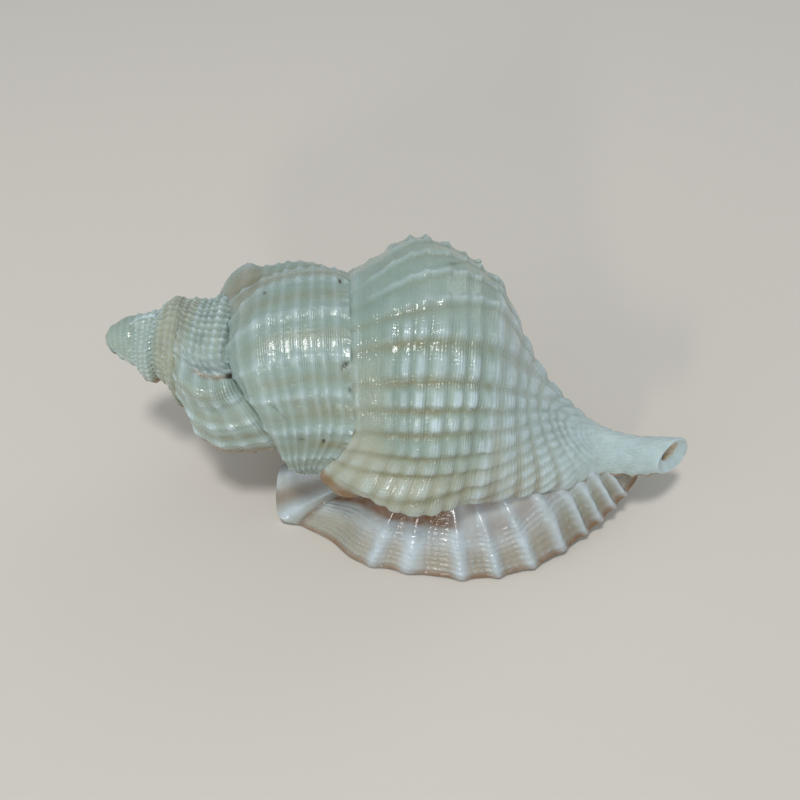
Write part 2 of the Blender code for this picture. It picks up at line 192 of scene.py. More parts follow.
@dataclass(frozen=True)
class WhorlForm:
    """The smooth form of the whorls, before any sculpture."""

    line: CoilLine = CoilLine()
    last_growth: float = 10.0
    varix_step: float = 255.0
    varix_shift: float = 12.0
    varix_width: float = 9.0
    varix_height: Span = (0.16, 0.12)
    young_varix: float = 0.1
    young_varix_span: Span = (-980.0, -860.0)
    body_radius: float = 13.46
    body_widest: float = -159.0
    radius_growth: float = 0.30
    radius_slowing: float = 0.016
    swell: float = 0.05
    swell_stage: float = 0.33
    swell_span: Span = (-1500.0, -600.0)
    shrink: float = 0.17
    shrink_span: Span = (-130.0, -25.0)
    furrow_depth: float = 2.6
    furrow_span: Span = (-8.0, 10.0)
    seam_start: float = 4.1
    seam_span: float = 21.7
    seam_ratio: float = 2.26
    seam_measured: float = -68.0
    early_turns: float = 5.1
    early_power: float = 3.4
    droop: float = 5.0
    droop_span: Span = (-452.0, -345.0)
    droop_end: float = -180.0
    last_moves: float = 0.55
    last_moves_span: Span = (-160.0, -110.0)
    rise: float = 5.0
    rise_span: Span = (-45.0, 8.0)
    young_span: Span = (-780.0, -480.0)
    last_span: Span = (-330.0, -230.0)
    seam_radius: Span = (0.93, 0.96)
    high_seam: float = 0.04
    high_seam_span: Four = (-700.0, -560.0, -350.0, -200.0)
    edge_narrows: float = 0.06
    edge_span: Span = (-360.0, -200.0)
    shoulder: Four = (0.38, 0.82, 0.56, 0.22)
    shoulder_power: Four = (3.3, 1.3, 2.1, 5.5)
    base_from: float = 36.3
    base_from_at: float = -160.0
    base_from_rise: float = 2.0
    base_reach: Span = (0.27, 0.42)
    reach_span: Span = (-120.0, -10.0)
    lip_reach: float = 0.10
    lip_reach_span: Span = (-50.0, 5.0)
    base_power: float = 1.5
    furrow_across: Span = (0.15, 0.5)
    tip_reach: float = 57.9
    tip_slant: float = 1.9
    tip_slant_toward: float = math.radians(145.0)
    canal_radius: float = 2.7
    canal_taper: float = 0.85
    canal_fades: float = 0.5
    canal_joins: float = 0.8

    def varix(self, growth: Array) -> Array:
        """Height, from 0 to 1, of the ridges left by earlier lips, one every varix_step of growth."""
        off = np.mod(growth + self.varix_step / 2.0, self.varix_step) - self.varix_step / 2.0
        return hump(off, -self.varix_shift, self.varix_width)

    def radius(self, growth: Array) -> Array:
        """Widest radius of the whorl.

        Args:
            growth: Angles of growth.

        Returns:
            A radius that grows by a power each turn, swells between ridges and shrinks toward the lip.
        """
        turns = (growth - self.body_widest) / TURN
        radius = self.body_radius * np.exp(self.radius_growth * turns - self.radius_slowing * turns * turns)
        stage = np.mod(growth, self.varix_step) / self.varix_step
        swell = self.swell * np.cos(2.0 * np.pi * (stage - self.swell_stage))
        swell = swell * ramp(growth, *self.swell_span)
        return radius * (1.0 + swell) * (1.0 - self.shrink * ramp(growth, *self.shrink_span))

    def furrow(self, growth: Array) -> Array:
        """Depth of the groove in front of the last ridge, where the lip starts to flare."""
        return self.furrow_depth * ramp(growth, *self.furrow_span)

    def seam(self, growth: Array) -> Array:
        """Distance from the apex to the seam above the whorl.

        Args:
            growth: Angles of growth.

        Returns:
            A spiral that widens by seam_ratio each turn, droops where the shell is lopsided, and moves back
            on the last turn and again at the lip.
        """
        turns = (growth - self.seam_measured) / TURN
        start = self.seam_start * (1.0 - np.clip(-turns / self.early_turns, 0.0, 1.0) ** self.early_power)
        droop = self.droop * plateau(growth, *self.droop_span, self.droop_span[1], self.droop_end)
        moved = self.last_moves * ramp(growth, *self.last_moves_span)
        moved = moved + self.rise * ramp(growth, *self.rise_span)
        return self.seam_span * self.seam_ratio**turns + start + droop - moved

    def seam_share(self, growth: Array) -> Array:
        """Share of its widest radius at which a whorl meets the next one, at the older whorl's growth.

        Args:
            growth: Angles of growth.

        Returns:
            The share, from 0 to 1.
        """
        young = fall(growth + TURN, *self.young_span)
        high = self.high_seam * plateau(growth, *self.high_seam_span)
        return self.seam_radius[0] + (self.seam_radius[1] - self.seam_radius[0]) * young + high

    def front_edge(self, growth: Array) -> tuple[Array, Array]:
        """Where the band of a whorl ends and the next whorl, or the base, starts.

        Args:
            growth: Angles of growth.

        Returns:
            Distance along the line, and radius.
        """
        start = self.seam(np.array(self.last_growth))
        free = start + (self.base_from - start) * ramp(growth, self.last_growth - TURN, self.base_from_at)
        free = free + self.base_from_rise * ramp(growth, self.base_from_at, 0.0)
        along = np.where(growth <= self.last_growth - TURN, self.seam(growth + TURN), free)
        share = self.seam_share(growth) - self.edge_narrows * ramp(growth, *self.edge_span)
        return along, share * self.radius(growth) - self.furrow(growth)

    def blend(self, growth: Array, middle: float, young: float, last: float, ridged: float) -> Array:
        """Value for each growth from those of the sorts of whorl.

        Args:
            growth: Angles of growth.
            middle: Value of a middle whorl.
            young: Value of a young whorl.
            last: Value of the last whorl.
            ridged: Value on an earlier lip.

        Returns:
            The middle value, moved toward each of the others by how far the growth is of that sort.
        """
        is_last = ramp(growth, *self.last_span)
        value = middle + (young - middle) * fall(growth, *self.young_span) + (last - middle) * is_last
        return value + (ridged - middle) * self.varix(growth) * (1.0 - is_last)

    def band(self, growth: Array, across: Array) -> tuple[Array, Array]:
        """Section of the visible band of a whorl.

        The radius climbs from the seam to the shoulder by one power curve and falls to the front edge by
        another. The young whorls are cones, the middle ones boxy, and the last one round.

        Args:
            growth: Angles of growth.
            across: 0 at the seam to 1 at the front edge.

        Returns:
            Distance along the line, and radius.
        """
        last, ridge = ramp(growth, *self.last_span), self.varix(growth)
        start = self.seam(growth)
        start_radius = self.seam_share(growth - TURN) * self.radius(growth - TURN)
        end, end_radius = self.front_edge(growth)
        height = self.varix_height[0] + (self.varix_height[1] - self.varix_height[0]) * last
        height = height * (self.young_varix + (1.0 - self.young_varix) * ramp(growth, *self.young_varix_span))
        furrow = self.furrow(growth) * ramp(across, *self.furrow_across)
        peak_radius = self.radius(growth) * (1.0 + height * ridge) - furrow
        peak = self.blend(growth, *self.shoulder)
        rise = np.clip(1.0 - across / peak, 0.0, 1.0) ** self.blend(growth, *self.shoulder_power)
        drop = np.clip((across - peak) / (1.0 - peak), 0.0, 1.0) ** 2.0
        radius = peak_radius - (peak_radius - start_radius) * rise - (peak_radius - end_radius) * drop
        return start + (end - start) * across, radius

    def base(self, growth: Array, below: Array) -> tuple[Array, Array]:
        """Section of the base, down the neck to the slanted tip of the canal.

        Args:
            growth: Angles of growth on the last turn.
            below: 0 at the band's front edge to 1 at the tip.

        Returns:
            Distance along the line, and radius.
        """
        start, start_radius = self.front_edge(growth)
        turned = np.radians(self.line.lip_angle + growth) - self.tip_slant_toward
        tip = self.tip_reach - self.tip_slant * np.cos(turned)
        canal = self.canal_radius - self.canal_taper * below
        early, late = self.base_reach
        reach = early + (late - early) * ramp(growth, *self.reach_span)
        reach = reach + self.lip_reach * ramp(growth, *self.lip_reach_span)
        in_canal = ramp(below, self.canal_fades, self.canal_joins)
        fade = np.exp(-((below / reach) ** self.base_power)) * (1.0 - in_canal)
        start = start + (self.base_from - start) * in_canal
        return start + (tip - start) * below, canal + (start_radius - canal) * fade

    def surface(self, growth: Array, station: Array) -> Array:
        """Points of the smooth surface.

        Args:
            growth: Angles of growth.
            station: 0 to 1 across the band, and on to 2 down the base.

        Returns:
            Points, with x, y and z on the last axis.
        """
        growth, station = np.broadcast_arrays(growth, station)
        band_along, band_radius = self.band(growth, np.clip(station, 0.0, 1.0))
        base_along, base_radius = self.base(growth, np.clip(station - 1.0, 0.0, 1.0))
        along = np.where(station <= 1.0, band_along, base_along)
        radius = np.where(station <= 1.0, band_radius, base_radius)
        return self.line.place(along, radius, growth)


class On(Enum):
    """What a patch of colour can follow, from 0 to 1, and the measures that its windows lie on."""

    ONE = auto()
    LAST = auto()
    BAND = auto()
    BASE = auto()
    NARROW = auto()
    MIDDLE = auto()
    OLDER = auto()
    CORD = auto()
    GAP = auto()
    RIB = auto()
    OFF_RIB = auto()
    NODE = auto()
    BEAD = auto()
    DRAW = auto()
    GROOVE = auto()
    OLIVE = auto()
    FOLD = auto()
    OLD_LIP = auto()
    COLLAR = auto()
    REACH = auto()
    LIP = auto()
    EAR = auto()
    KNOB = auto()
    OFF_KNOB = auto()
    INNER = auto()
    PALE = auto()
    GROWTH = auto()
    ACROSS = auto()
    BELOW = auto()
    ALONG = auto()
    TURNED = auto()
    SPOUT = auto()
    SHARE = auto()
    RIDGE = auto()
    EAR_LINE = auto()


@dataclass(frozen=True)
class Up:
    """Window that opens from low to high, and lets the least through below it."""

    low: float
    high: float
    least: float = 0.0

    def at(self, value: Array) -> Array:
        """How open the window is at each value."""
        return self.least + (1.0 - self.least) * ramp(value, self.low, self.high)


@dataclass(frozen=True)
class Down(Up):
    """Window that closes from low to high, and lets the least through above it."""

    def at(self, value: Array) -> Array:
        """How open the window is at each value."""
        return self.least + (1.0 - self.least) * fall(value, self.low, self.high)


@dataclass(frozen=True)
class Between:
    """Window that opens from low to full and closes from fading to end."""

    low: float
    full: float
    fading: float
    end: float

    def at(self, value: Array) -> Array:
        """How open the window is at each value."""
        return plateau(value, self.low, self.full, self.fading, self.end)


@dataclass(frozen=True)
class Bell:
    """Window that is open at its middle and fades by a bell curve either side."""

    middle: float
    half_width: float

    def at(self, value: Array) -> Array:
        """How open the window is at each value."""
        return hump(value, self.middle, self.half_width)


@dataclass(frozen=True)
class Patch:
    """A patch of colour: its strength, what it follows, its windows, and a weighted sum of fields."""

    strength: float
    follows: tuple[On, ...] = ()
    windows: dict[On, Up | Between | Bell] = field(default_factory=dict)
    blend: dict[On, float] = field(default_factory=lambda: {On.ONE: 1.0})

    def at(self, fields: dict[On, Array]) -> Array:
        """Work out the patch.

        Args:
            fields: Every field at each point.

        Returns:
            The product of the strength, the fields, the windows and the sum.
        """
        value = self.strength * sum(weight * fields[name] for name, weight in self.blend.items())
        for name in self.follows:
            value = value * fields[name]
        for name, window in self.windows.items():
            value = value * window.at(fields[name])
        return value


@dataclass(frozen=True)
class Sum:
    """Patches that add up."""

    patches: tuple[Patch, ...]

    def at(self, fields: dict[On, Array]) -> Array:
        """Sum of the patches."""
        return sum(patch.at(fields) for patch in self.patches)


@dataclass(frozen=True)
class Strongest:
    """Patches of which the strongest shows."""

    patches: tuple[Patch | Sum, ...]

    def at(self, fields: dict[On, Array]) -> Array:
        """Greatest of the patches."""
        return np.maximum.reduce([patch.at(fields) for patch in self.patches])


STAIN = {On.GROWTH: Bell(-508.0, 34.0), On.ACROSS: Bell(0.10, 0.16)}
AGED = {On.ALONG: Between(5.2, 6.2, 8.2, 9.4)}
WORN_GAP = {On.ONE: 1.0, On.RIB: -0.5}
BASE_WHITE = {On.ONE: 0.85, On.RIB: 0.15}
SEAMED = Between(-112.0, -80.0, -18.0, -10.0)

WHORL_MASKS = {
    Mask.WHITE: Strongest((
        Patch(1.0, (On.BAND, On.FOLD), {On.ACROSS: Up(0.16, 0.5), On.GROWTH: Down(-62.0, -34.0, 0.4)},
              {On.ONE: 0.15, On.DRAW: 0.65, On.RIB: 0.35}),
        Patch(0.75, (On.NARROW, On.NODE), {On.ACROSS: Up(0.1, 0.3)}),
        Patch(0.65, (On.NARROW, On.RIB), {On.ACROSS: Up(0.02, 0.2)}),
        Sum((
            Patch(0.70, (On.BASE,), blend=BASE_WHITE),
            Patch(0.30, (On.BASE, On.CORD), {On.BELOW: Down(0.35, 0.60)}, BASE_WHITE),
        )),
        Patch(1.0, (On.MIDDLE,), blend={On.RIB: 0.35, On.CORD: 0.30, On.NODE: 0.05}),
        Patch(0.95, (On.OLD_LIP,), {On.GROWTH: Down(-600.7, -599.7)}),
        Patch(0.45, (On.COLLAR,), blend={On.ONE: 0.4, On.DRAW: 0.6}),
        Patch(1.0, (On.LAST,), {On.GROWTH: Up(-40.0, -18.0)}, {On.CORD: 0.1, On.NODE: 0.3}),
        Patch(0.7, (On.LAST,), {On.GROWTH: Bell(2.0, 9.0), On.ACROSS: Bell(0.75, 0.22)}),
        Patch(0.75, (On.OLDER, On.NODE), {On.GROWTH: Up(-1000.0, -860.0, 7.0 / 15.0)}),
        Patch(1.0, (On.OLDER, On.BEAD), {On.ALONG: Between(2.6, 3.6, 5.2, 6.2)}),
        Patch(1.0, (On.OLDER,), {On.ALONG: Up(8.4, 9.4)},
              {On.ONE: 0.2, On.CORD: 0.35, On.NODE: 0.45}),
    )),
    Mask.TAN: Sum((
        # The tan groove lines below the ribs are partly the shell's own olive-brown and partly painted shade
        # on the steep side of each rib, which faces down.
        Patch(0.45, (On.BAND, On.GROOVE), {On.GROWTH: SEAMED}),
        Patch(0.50, (On.BAND, On.GROOVE), {On.GROWTH: SEAMED, On.ACROSS: Up(0.12, 0.4)}),
        Patch(-0.35, (On.BAND, On.GROOVE), {On.GROWTH: SEAMED, On.ACROSS: Up(0.6, 0.95)}),
        Patch(0.35, (On.BAND, On.OLIVE), {On.GROWTH: Down(-112.0, -85.0), On.ACROSS: Up(0.2, 0.5)}),
        Patch(0.45, (On.BASE, On.GROOVE), {On.BELOW: Down(0.08, 0.35), On.GROWTH: Down(-30.0, -12.0)}),
        Patch(0.22, (On.BASE, On.GAP), {On.BELOW: Down(0.6, 0.85)}),
        Patch(0.6, (On.BASE, On.GAP), {On.GROWTH: Up(-50.0, -22.0), On.BELOW: Down(0.45, 0.7)}),
        Patch(0.30, (On.BAND, On.GAP), {On.GROWTH: Up(-34.0, -14.0)}),
        Patch(0.55, (On.BASE, On.GAP), {On.GROWTH: Up(-34.0, -14.0), On.BELOW: Down(0.45, 0.65)}),
        Patch(0.70, (On.MIDDLE,), {On.GROWTH: Bell(-409.0, 3.6), On.ACROSS: Up(0.3, 0.5)}),
        Patch(0.42, (On.MIDDLE,), {On.GROWTH: Bell(-428.0, 2.6), On.ACROSS: Up(0.6, 0.85)}),
        Patch(0.70, (On.MIDDLE,), {On.GROWTH: Bell(-389.0, 3.2), On.ACROSS: Up(0.35, 0.5)}),
        Patch(0.50, (On.MIDDLE, On.OLIVE), {On.ACROSS: Up(0.05, 0.3)}),
        Patch(0.35, (On.OFF_RIB,), STAIN),
        Patch(0.12, (On.OLDER, On.GAP), AGED, WORN_GAP),
        Patch(0.25, (On.OLDER, On.GAP), blend=WORN_GAP),
        *(Patch(0.5, (), {On.GROWTH: Bell(growth, half), On.ACROSS: Up(0.1, 0.4)})
          for growth, half in ((-773.0, 5.0), (-750.0, 4.0), (-733.0, 4.0))),
        Patch(0.8, (On.LAST, On.GAP), {On.GROWTH: Bell(3.0, 6.0), On.ACROSS: Down(0.4, 0.65)}),
    )),
    Mask.BROWN: Strongest((
        # Painted shade: brown on the sides of the older whorls that face down to the floor.
        Patch(1.0, (), {On.TURNED: Between(200.0, 222.0, 262.0, 300.0), On.GROWTH: Down(-250.3, -249.3)},
              {On.ONE: 1.0, On.RIB: -0.35}),
        # Painted shadow: brown in the furrow under the overhanging edge of the lip.
        Patch(1.0, (On.LAST,), {On.GROWTH: Up(-7.0, -1.0)}),
        Patch(0.30, (On.BASE,), {On.GROWTH: Bell(-12.0, 12.0), On.BELOW: Down(0.40, 0.60)},
              {On.ONE: 1.0, On.CORD: -0.8}),
        Patch(0.7, (), {On.GROWTH: Bell(-787.0, 1.3), On.ACROSS: Up(0.25, 0.5)}),
        Patch(0.45, (), STAIN, {On.ONE: 1.0, On.RIB: -0.6}),
    )),
    Mask.GREEN: Sum((
        Patch(1.0, (On.BAND,), {On.ACROSS: Down(0.30, 0.62, 0.25), On.GROWTH: Up(-150.0, -110.0)}),
        Patch(0.75, (On.MIDDLE,)),
    )),
    Mask.GLOSS: Sum((
        Patch(0.65),
        Patch(0.25, (On.LAST,), {On.BELOW: Down(0.1, 0.5)}),
        Patch(-0.45, (On.MIDDLE,)),
    )),
    Mask.THREAD: Sum((
        Patch(1.0, (On.REACH,), blend={On.ONE: 1.0, On.OLDER: 0.3, On.MIDDLE: -0.5}),
        Patch(-0.55, (On.REACH, On.BAND), {On.GROWTH: Down(-112.0, -88.0)}),
    )),
    Mask.YELLOW: Sum((
        Patch(0.8, (On.OLDER,), AGED, {On.ONE: 1.0, On.NODE: -0.7}),
        Patch(1.0, (On.LAST,), {On.GROWTH: Up(-45.0, -22.0), On.BELOW: Down(0.15, 0.5)}),
        Patch(1.0, (On.BASE,), {On.GROWTH: Up(-75.0, -35.0), On.BELOW: Down(0.25, 0.6)},
              {On.ONE: 1.0, On.CORD: -0.6}),
        Patch(0.5, (On.BAND,), {On.GROWTH: Up(-95.0, -60.0), On.ACROSS: Down(0.15, 0.4)}),
    )),
}

ON_LIP = (On.LIP, On.OFF_RIB, On.PALE)
EAR_TROUGH = Up(0.6, 0.75)
RIB_REACH = Up(0.72, 0.90)

FLANGE_MASKS = {
    Mask.WHITE: Strongest((
        Patch(1.0, (On.LIP, On.INNER)),
        Sum((
            Patch(0.88, (On.EAR,), {On.RIDGE: Bell(0.20, 0.45)}),
            Patch(0.88, (On.EAR,), {On.SPOUT: Bell(-0.95, 0.35)}),
        )),
        Patch(0.8, (On.RIB,), {On.SPOUT: Up(6.3, 6.9)}),
        Patch(1.0, (On.KNOB,)),
    )),
    Mask.TAN: Sum((
        Patch(0.5, ON_LIP, {On.SHARE: RIB_REACH}),
        Patch(0.4, ON_LIP, {On.SHARE: RIB_REACH, On.SPOUT: Bell(1.9, 0.8)}),
        Patch(-0.2, ON_LIP, {On.SHARE: RIB_REACH, On.SPOUT: Up(6.4, 7.2)}),
        Patch(1.0, (On.EAR,), {On.SPOUT: Bell(-0.40, 0.26), On.SHARE: EAR_TROUGH}),
    )),
    Mask.BROWN: Strongest((
        # Painted shadow: brown where the flange runs in under the overhanging lip, near the ear and by the
        # canal.
        Patch(1.0, (On.LIP,), {On.SHARE: Down(0.72, 0.765), On.SPOUT: Between(0.3, 0.9, 4.6, 5.2)}),
        Patch(0.5, (), {On.SHARE: Down(0.62, 0.70), On.SPOUT: Up(4.8, 5.3)}),
        Patch(0.55, (), {On.EAR_LINE: Bell(0.12, 0.12)}),
        Sum((
            Patch(0.8, (On.LIP,), {On.SHARE: Up(0.972, 0.99)}, {On.ONE: 1.0, On.RIB: -0.4}),
            Patch(0.45, (On.LIP, On.OFF_RIB), {On.SHARE: Up(0.86, 0.97), On.SPOUT: Up(6.0, 6.9)}),
        )),
        Patch(0.4, (On.EAR,), {On.SPOUT: Bell(-0.40, 0.22), On.SHARE: EAR_TROUGH}),
        # Painted shadow under the lip's edge, between the knobs by the canal.
        Patch(0.42, (On.OFF_KNOB,), {On.SPOUT: Between(5.0, 5.6, 7.2, 7.9), On.SHARE: Bell(0.75, 0.06)}),
    )),
    Mask.GREEN: Sum((
        Patch(0.4, (On.EAR,)),
        Patch(0.8, (), {On.SPOUT: Up(6.2, 7.0)}),
        Patch(0.5, (On.LIP,), {On.SPOUT: Bell(1.9, 0.9)}),
    )),
    Mask.GLOSS: Sum((Patch(0.7), Patch(0.3, (On.EAR,)))),
    Mask.THREAD: Patch(1.0, (On.LIP,), {On.SHARE: Up(0.72, 0.8)}, {On.ONE: 1.0, On.RIB: -0.5}),
    Mask.YELLOW: Patch(1.0, (On.LIP, On.OFF_RIB), {On.SPOUT: Between(2.6, 3.4, 6.0, 6.8)}),
}


@dataclass
class Relief:
    """What the sculpture adds at each point: its height and the masks and counts that the finishes read."""

    height: Array
    masks: dict[Mask, Array]
    ribs: Array
    cords: Array

    @classmethod
    def even(cls, shape: tuple[int, ...], masks: dict[Mask, float]) -> Relief:
        """No height and no counts, with each given mask the same all over."""
        none = np.zeros(shape)
        return cls(none, {mask: np.full(shape, value) for mask, value in masks.items()}, none, none)


@dataclass(frozen=True)
class Pit:
    """A worn hole or crack: where it is, its half length along the growth, its half width and its depth.

    The slant is how far it strays in growth for each station across.
    """

    growth: float
    station: float
    length: float
    width: float
    depth: float
    slant: float = 0.0


@dataclass(frozen=True)
class Lump:
    """A place where the coil is lumpy: its growth and station, its half widths in both, and its height."""

    growth: float
    station: float
    half_growth: float
    half_station: float
    height: float


PITS = (
    Pit(-473.0, 0.285, 1.0, 0.009, 0.15),
    Pit(-389.0, 0.735, 1.1, 0.014, 0.3),
    Pit(-389.5, 0.50, 0.7, 0.035, 0.1),
    Pit(-480.0, 0.93, 1.8, 0.012, 0.25),
    Pit(-429.0, 0.94, 1.0, 0.030, 0.3, -60.0),
    Pit(-406.0, 0.32, 0.8, 0.045, 0.07, 80.0),
    Pit(-788.0, 0.95, 2.0, 0.05, 0.2),
    Pit(-127.0, 0.69, 0.6, 0.05, 0.1, -70.0),
    Pit(-418.0, 0.97, 1.0, 0.012, 0.2),
)

LUMPS = (
    Lump(-160.0, 0.16, 55.0, 0.20, -0.85),
    Lump(-520.0, 0.02, 22.0, 0.10, 1.3),
    Lump(-880.0, 0.78, 30.0, 0.22, 0.8),
    Lump(-1240.0, 0.82, 45.0, 0.20, -0.4),
    Lump(-1600.0, 0.10, 50.0, 0.35, 0.5),
    Lump(-1960.0, 0.60, 60.0, 0.40, 0.45),
    Lump(-1060.0, 0.55, 50.0, 0.32, -0.55),
    Lump(-1060.0, 0.98, 40.0, 0.15, -0.7),
    Lump(-1420.0, 0.65, 45.0, 0.35, 0.4),
    Lump(-1780.0, 0.40, 50.0, 0.40, -0.6),
    Lump(10.0, 0.05, 14.0, 0.14, 0.7),
    Lump(12.0, 0.18, 16.0, 0.13, 1.1),
)


@dataclass
class Net:
    """The net of cords and ribs at each point, which its relief and its colours are worked out from.

    across is the station on the band and below that on the base. cords and ribs count them, and stage is
    how far a point is through its rib. last, middle and young tell the whorls apart, and wide is where ribs
    are folds. The draws are uneven shares for each node, rib and cord.
    """

    growth: Array
    station: Array
    across: Array
    below: Array
    cords: Array
    ribs: Array
    node_draw: Array
    rib_draw: Array
    cord_draw: Array
    last: Array
    middle: Array
    young: Array
    grown: Array
    wide: Array
    stage: Array
    cord: Array
    keen: Array
    fold: Array
    crest: Array
    rib: Array


@dataclass(frozen=True)
class NetForm:
    """Where the cords and the ribs lie, and the section of each.

    A rib mark is a growth and the count of ribs back from the lip that stands there.
    """

    cord_step: Span = (0.11, 0.1255)
    cord_step_span: Span = (-380.0, -200.0)
    wider_step: float = 0.045
    wider_span: Span = (-900.0, -640.0)
    widest_step: float = 0.10
    widest_span: Span = (-1075.0, -1000.0)
    loose_step: float = 0.09
    loose_span: Four = (-800.0, -784.0, -690.0, -600.0)
    cord_first: float = 0.01
    cord_stray: float = 0.10
    cord_stray_rate: float = 1.9
    base_cords: Span = (9.5, 10.0)
    base_limit: float = 0.5
    lip_spread: float = 0.6
    lip_spread_span: Span = (-88.0, -15.0)
    back_spread: float = 0.22
    back_spread_span: Span = (88.0, 150.0)
    rib_marks: tuple[Span, ...] = (
        (-2260.0, -218.0), (-1000.0, -78.0), (-785.0, -46.0),
        (-475.0, -32.0), (-450.0, -31.0), (-426.0, -30.0),
        (-409.0, -29.0), (-391.0, -28.0), (-372.0, -27.0), (-154.1, -12.0), (-110.0, -8.66), (-98.0, -7.66),
        (-86.2, -6.5), (-75.2, -5.5), (-60.2, -4.5), (-48.7, -3.5), (-38.0, -2.5), (-25.8, -1.5),
        (-15.7, -0.5), (-4.0, 0.5), (30.0, 3.5), (140.0, 13.5),
    )
    lean_changes: Span = (-380.0, -300.0)
    last_lean: Span = (27.0, 9.0)
    early_lean: float = 7.0
    back_lean: float = 14.0
    back_lean_span: Span = (85.0, 130.0)
    base_lean: tuple[float, float, float] = (5.0, 150.0, 165.0)
    base_lean_knee: float = 0.55
    draws: tuple[int, int] = (64, 32)
    rib_draw_column: int = 7
    cord_draw_row: int = 5
    last_starts: Span = (-352.0, -280.0)
    middle_starts: Span = (-760.0, -620.0)
    young_ends: Span = (-1000.0, -860.0)
    grown_span: Span = (-1960.0, -1620.0)
    folds_from: Span = (-112.0, -88.0)
    base_folds: Span = (0.0, 0.05)
    fold_rise: Span = (0.0, 0.26)
    fold_back: Span = (0.24, 0.82)
    fold_drop: Span = (0.83, 1.0)
    fold_shares: Span = (0.6, 0.4)
    soft_fold: Four = (0.0, 0.42, 0.58, 1.0)
    softens: Span = (0.03, 0.2)
    crest_shift: float = 0.34
    crest_width: Span = (0.115, 0.05)
    cord_sides: Span = (0.04, 0.96)
    cord_edge: Span = (0.36, 0.12)
    cord_edge_span: Span = (0.1, 0.4)
    keen_width: float = 0.20

    def cord_number(self, growth: Array, across: Array, below: Array) -> Array:
        """Count of cords from the seam, whole on each cord.

        Args:
            growth: Angles of growth.
            across: Station on the band, at most 1.
            below: Station on the base, at least 0.

        Returns:
            Even steps across the band, then steps that shorten down the base and widen toward the lip.
        """
        young_step, last_step = self.cord_step
        step = young_step + (last_step - young_step) * ramp(growth, *self.cord_step_span)
        step = step + self.wider_step * fall(growth, *self.wider_span)
        step = step + self.widest_step * fall(growth, *self.widest_span)
        step = step + self.loose_step * plateau(growth, *self.loose_span)
        spread = 1.0 + self.lip_spread * ramp(growth, *self.lip_spread_span)
        spread = spread + self.back_spread * ramp(-growth, *self.back_spread_span)
        down = below / spread
        near, far = np.minimum(down, self.base_limit), np.maximum(down - self.base_limit, 0.0)
        slope = self.base_cords[0] + 2.0 * self.base_cords[1] * self.base_limit
        near_count = self.base_cords[0] * near + self.base_cords[1] * near * near
        even = (across - self.cord_first) / step + near_count + slope * far
        return even + self.cord_stray * np.sin(self.cord_stray_rate * even)

    def rib_number(self, growth: Array, across: Array, below: Array) -> Array:
        """Count of ribs back from the lip, whole on each rib.

        Args:
            growth: Angles of growth.
            across: Station on the band, at most 1.
            below: Station on the base, at least 0.

        Returns:
            The growth, read along lines that lean back across the band and more steeply down the base, as a
            count between the marks.
        """
        last = ramp(growth, *self.lean_changes)
        lean = last * (self.last_lean[0] * across - self.last_lean[1] * across**2)
        lean = lean + (1.0 - last) * self.early_lean * across
        lean = lean + last * self.back_lean * across * ramp(-growth, *self.back_lean_span)
        even, curved, steep = self.base_lean
        lean = lean + even * below + curved * np.minimum(below, self.base_lean_knee) ** 2
        lean = lean + steep * np.maximum(below - self.base_lean_knee, 0.0)
        marks = np.array(self.rib_marks)
        return np.interp(growth + lean, marks[:, 0], marks[:, 1])

    def weave(self, growth: Array, station: Array) -> Net:
        """Work out the net.

        A cord and a young rib are bell curves of the distance to the nearest whole count. On the base and
        near the lip a cord is a flat band and a rib a fold, which rises slowly and drops steeply.

        Args:
            growth: Angles of growth.
            station: 0 to 1 across the band, and on to 2 down the base.

        Returns:
            The net at each point.
        """
        growth, station = np.broadcast_arrays(growth, station)
        across, below = np.clip(station, 0.0, 1.0), np.clip(station - 1.0, 0.0, 1.0)
        cords, ribs = self.cord_number(growth, across, below), self.rib_number(growth, across, below)
        uneven = np.random.default_rng(SEED).uniform(0.0, 1.0, self.draws)
        rib_row = np.rint(ribs).astype(int) % self.draws[0]
        cord_column = np.rint(cords).astype(int) % self.draws[1]
        last = ramp(growth, *self.last_starts)
        young = fall(growth, *self.young_ends)
        wide = np.maximum(last * ramp(growth, *self.folds_from), last * ramp(below, *self.base_folds))

        stage, turn = np.mod(ribs + 0.5, 1.0), np.mod(cords + 0.5, 1.0)
        fold = self.fold_shares[0] + self.fold_shares[1] * ramp(stage, *self.fold_back)
        fold = ramp(stage, *self.fold_rise) * fold * fall(stage, *self.fold_drop)
        fold = fold + (plateau(stage, *self.soft_fold) - fold) * ramp(below, *self.softens)
        crest = hump(stage, 0.5 + self.crest_shift * last, self.crest_width[0] + self.crest_width[1] * young)
        cord_edge = self.cord_edge[0] - self.cord_edge[1] * ramp(below, *self.cord_edge_span)
        flat = plateau(turn, self.cord_sides[0], cord_edge, 1.0 - cord_edge, self.cord_sides[1])
        keen = hump(turn, 0.5, self.keen_width)
        return Net(
            growth, station, across, below, cords, ribs,
            node_draw=uneven[rib_row, cord_column],
            rib_draw=uneven[rib_row, self.rib_draw_column],
            cord_draw=uneven[self.cord_draw_row, cord_column],
            last=last, middle=ramp(growth, *self.middle_starts) * (1.0 - last), young=young,
            grown=ramp(growth, *self.grown_span), wide=wide, stage=stage,
            cord=wide * flat + (1.0 - wide) * keen, keen=keen, fold=fold, crest=crest,
            rib=wide * fold + (1.0 - wide) * crest,
        )
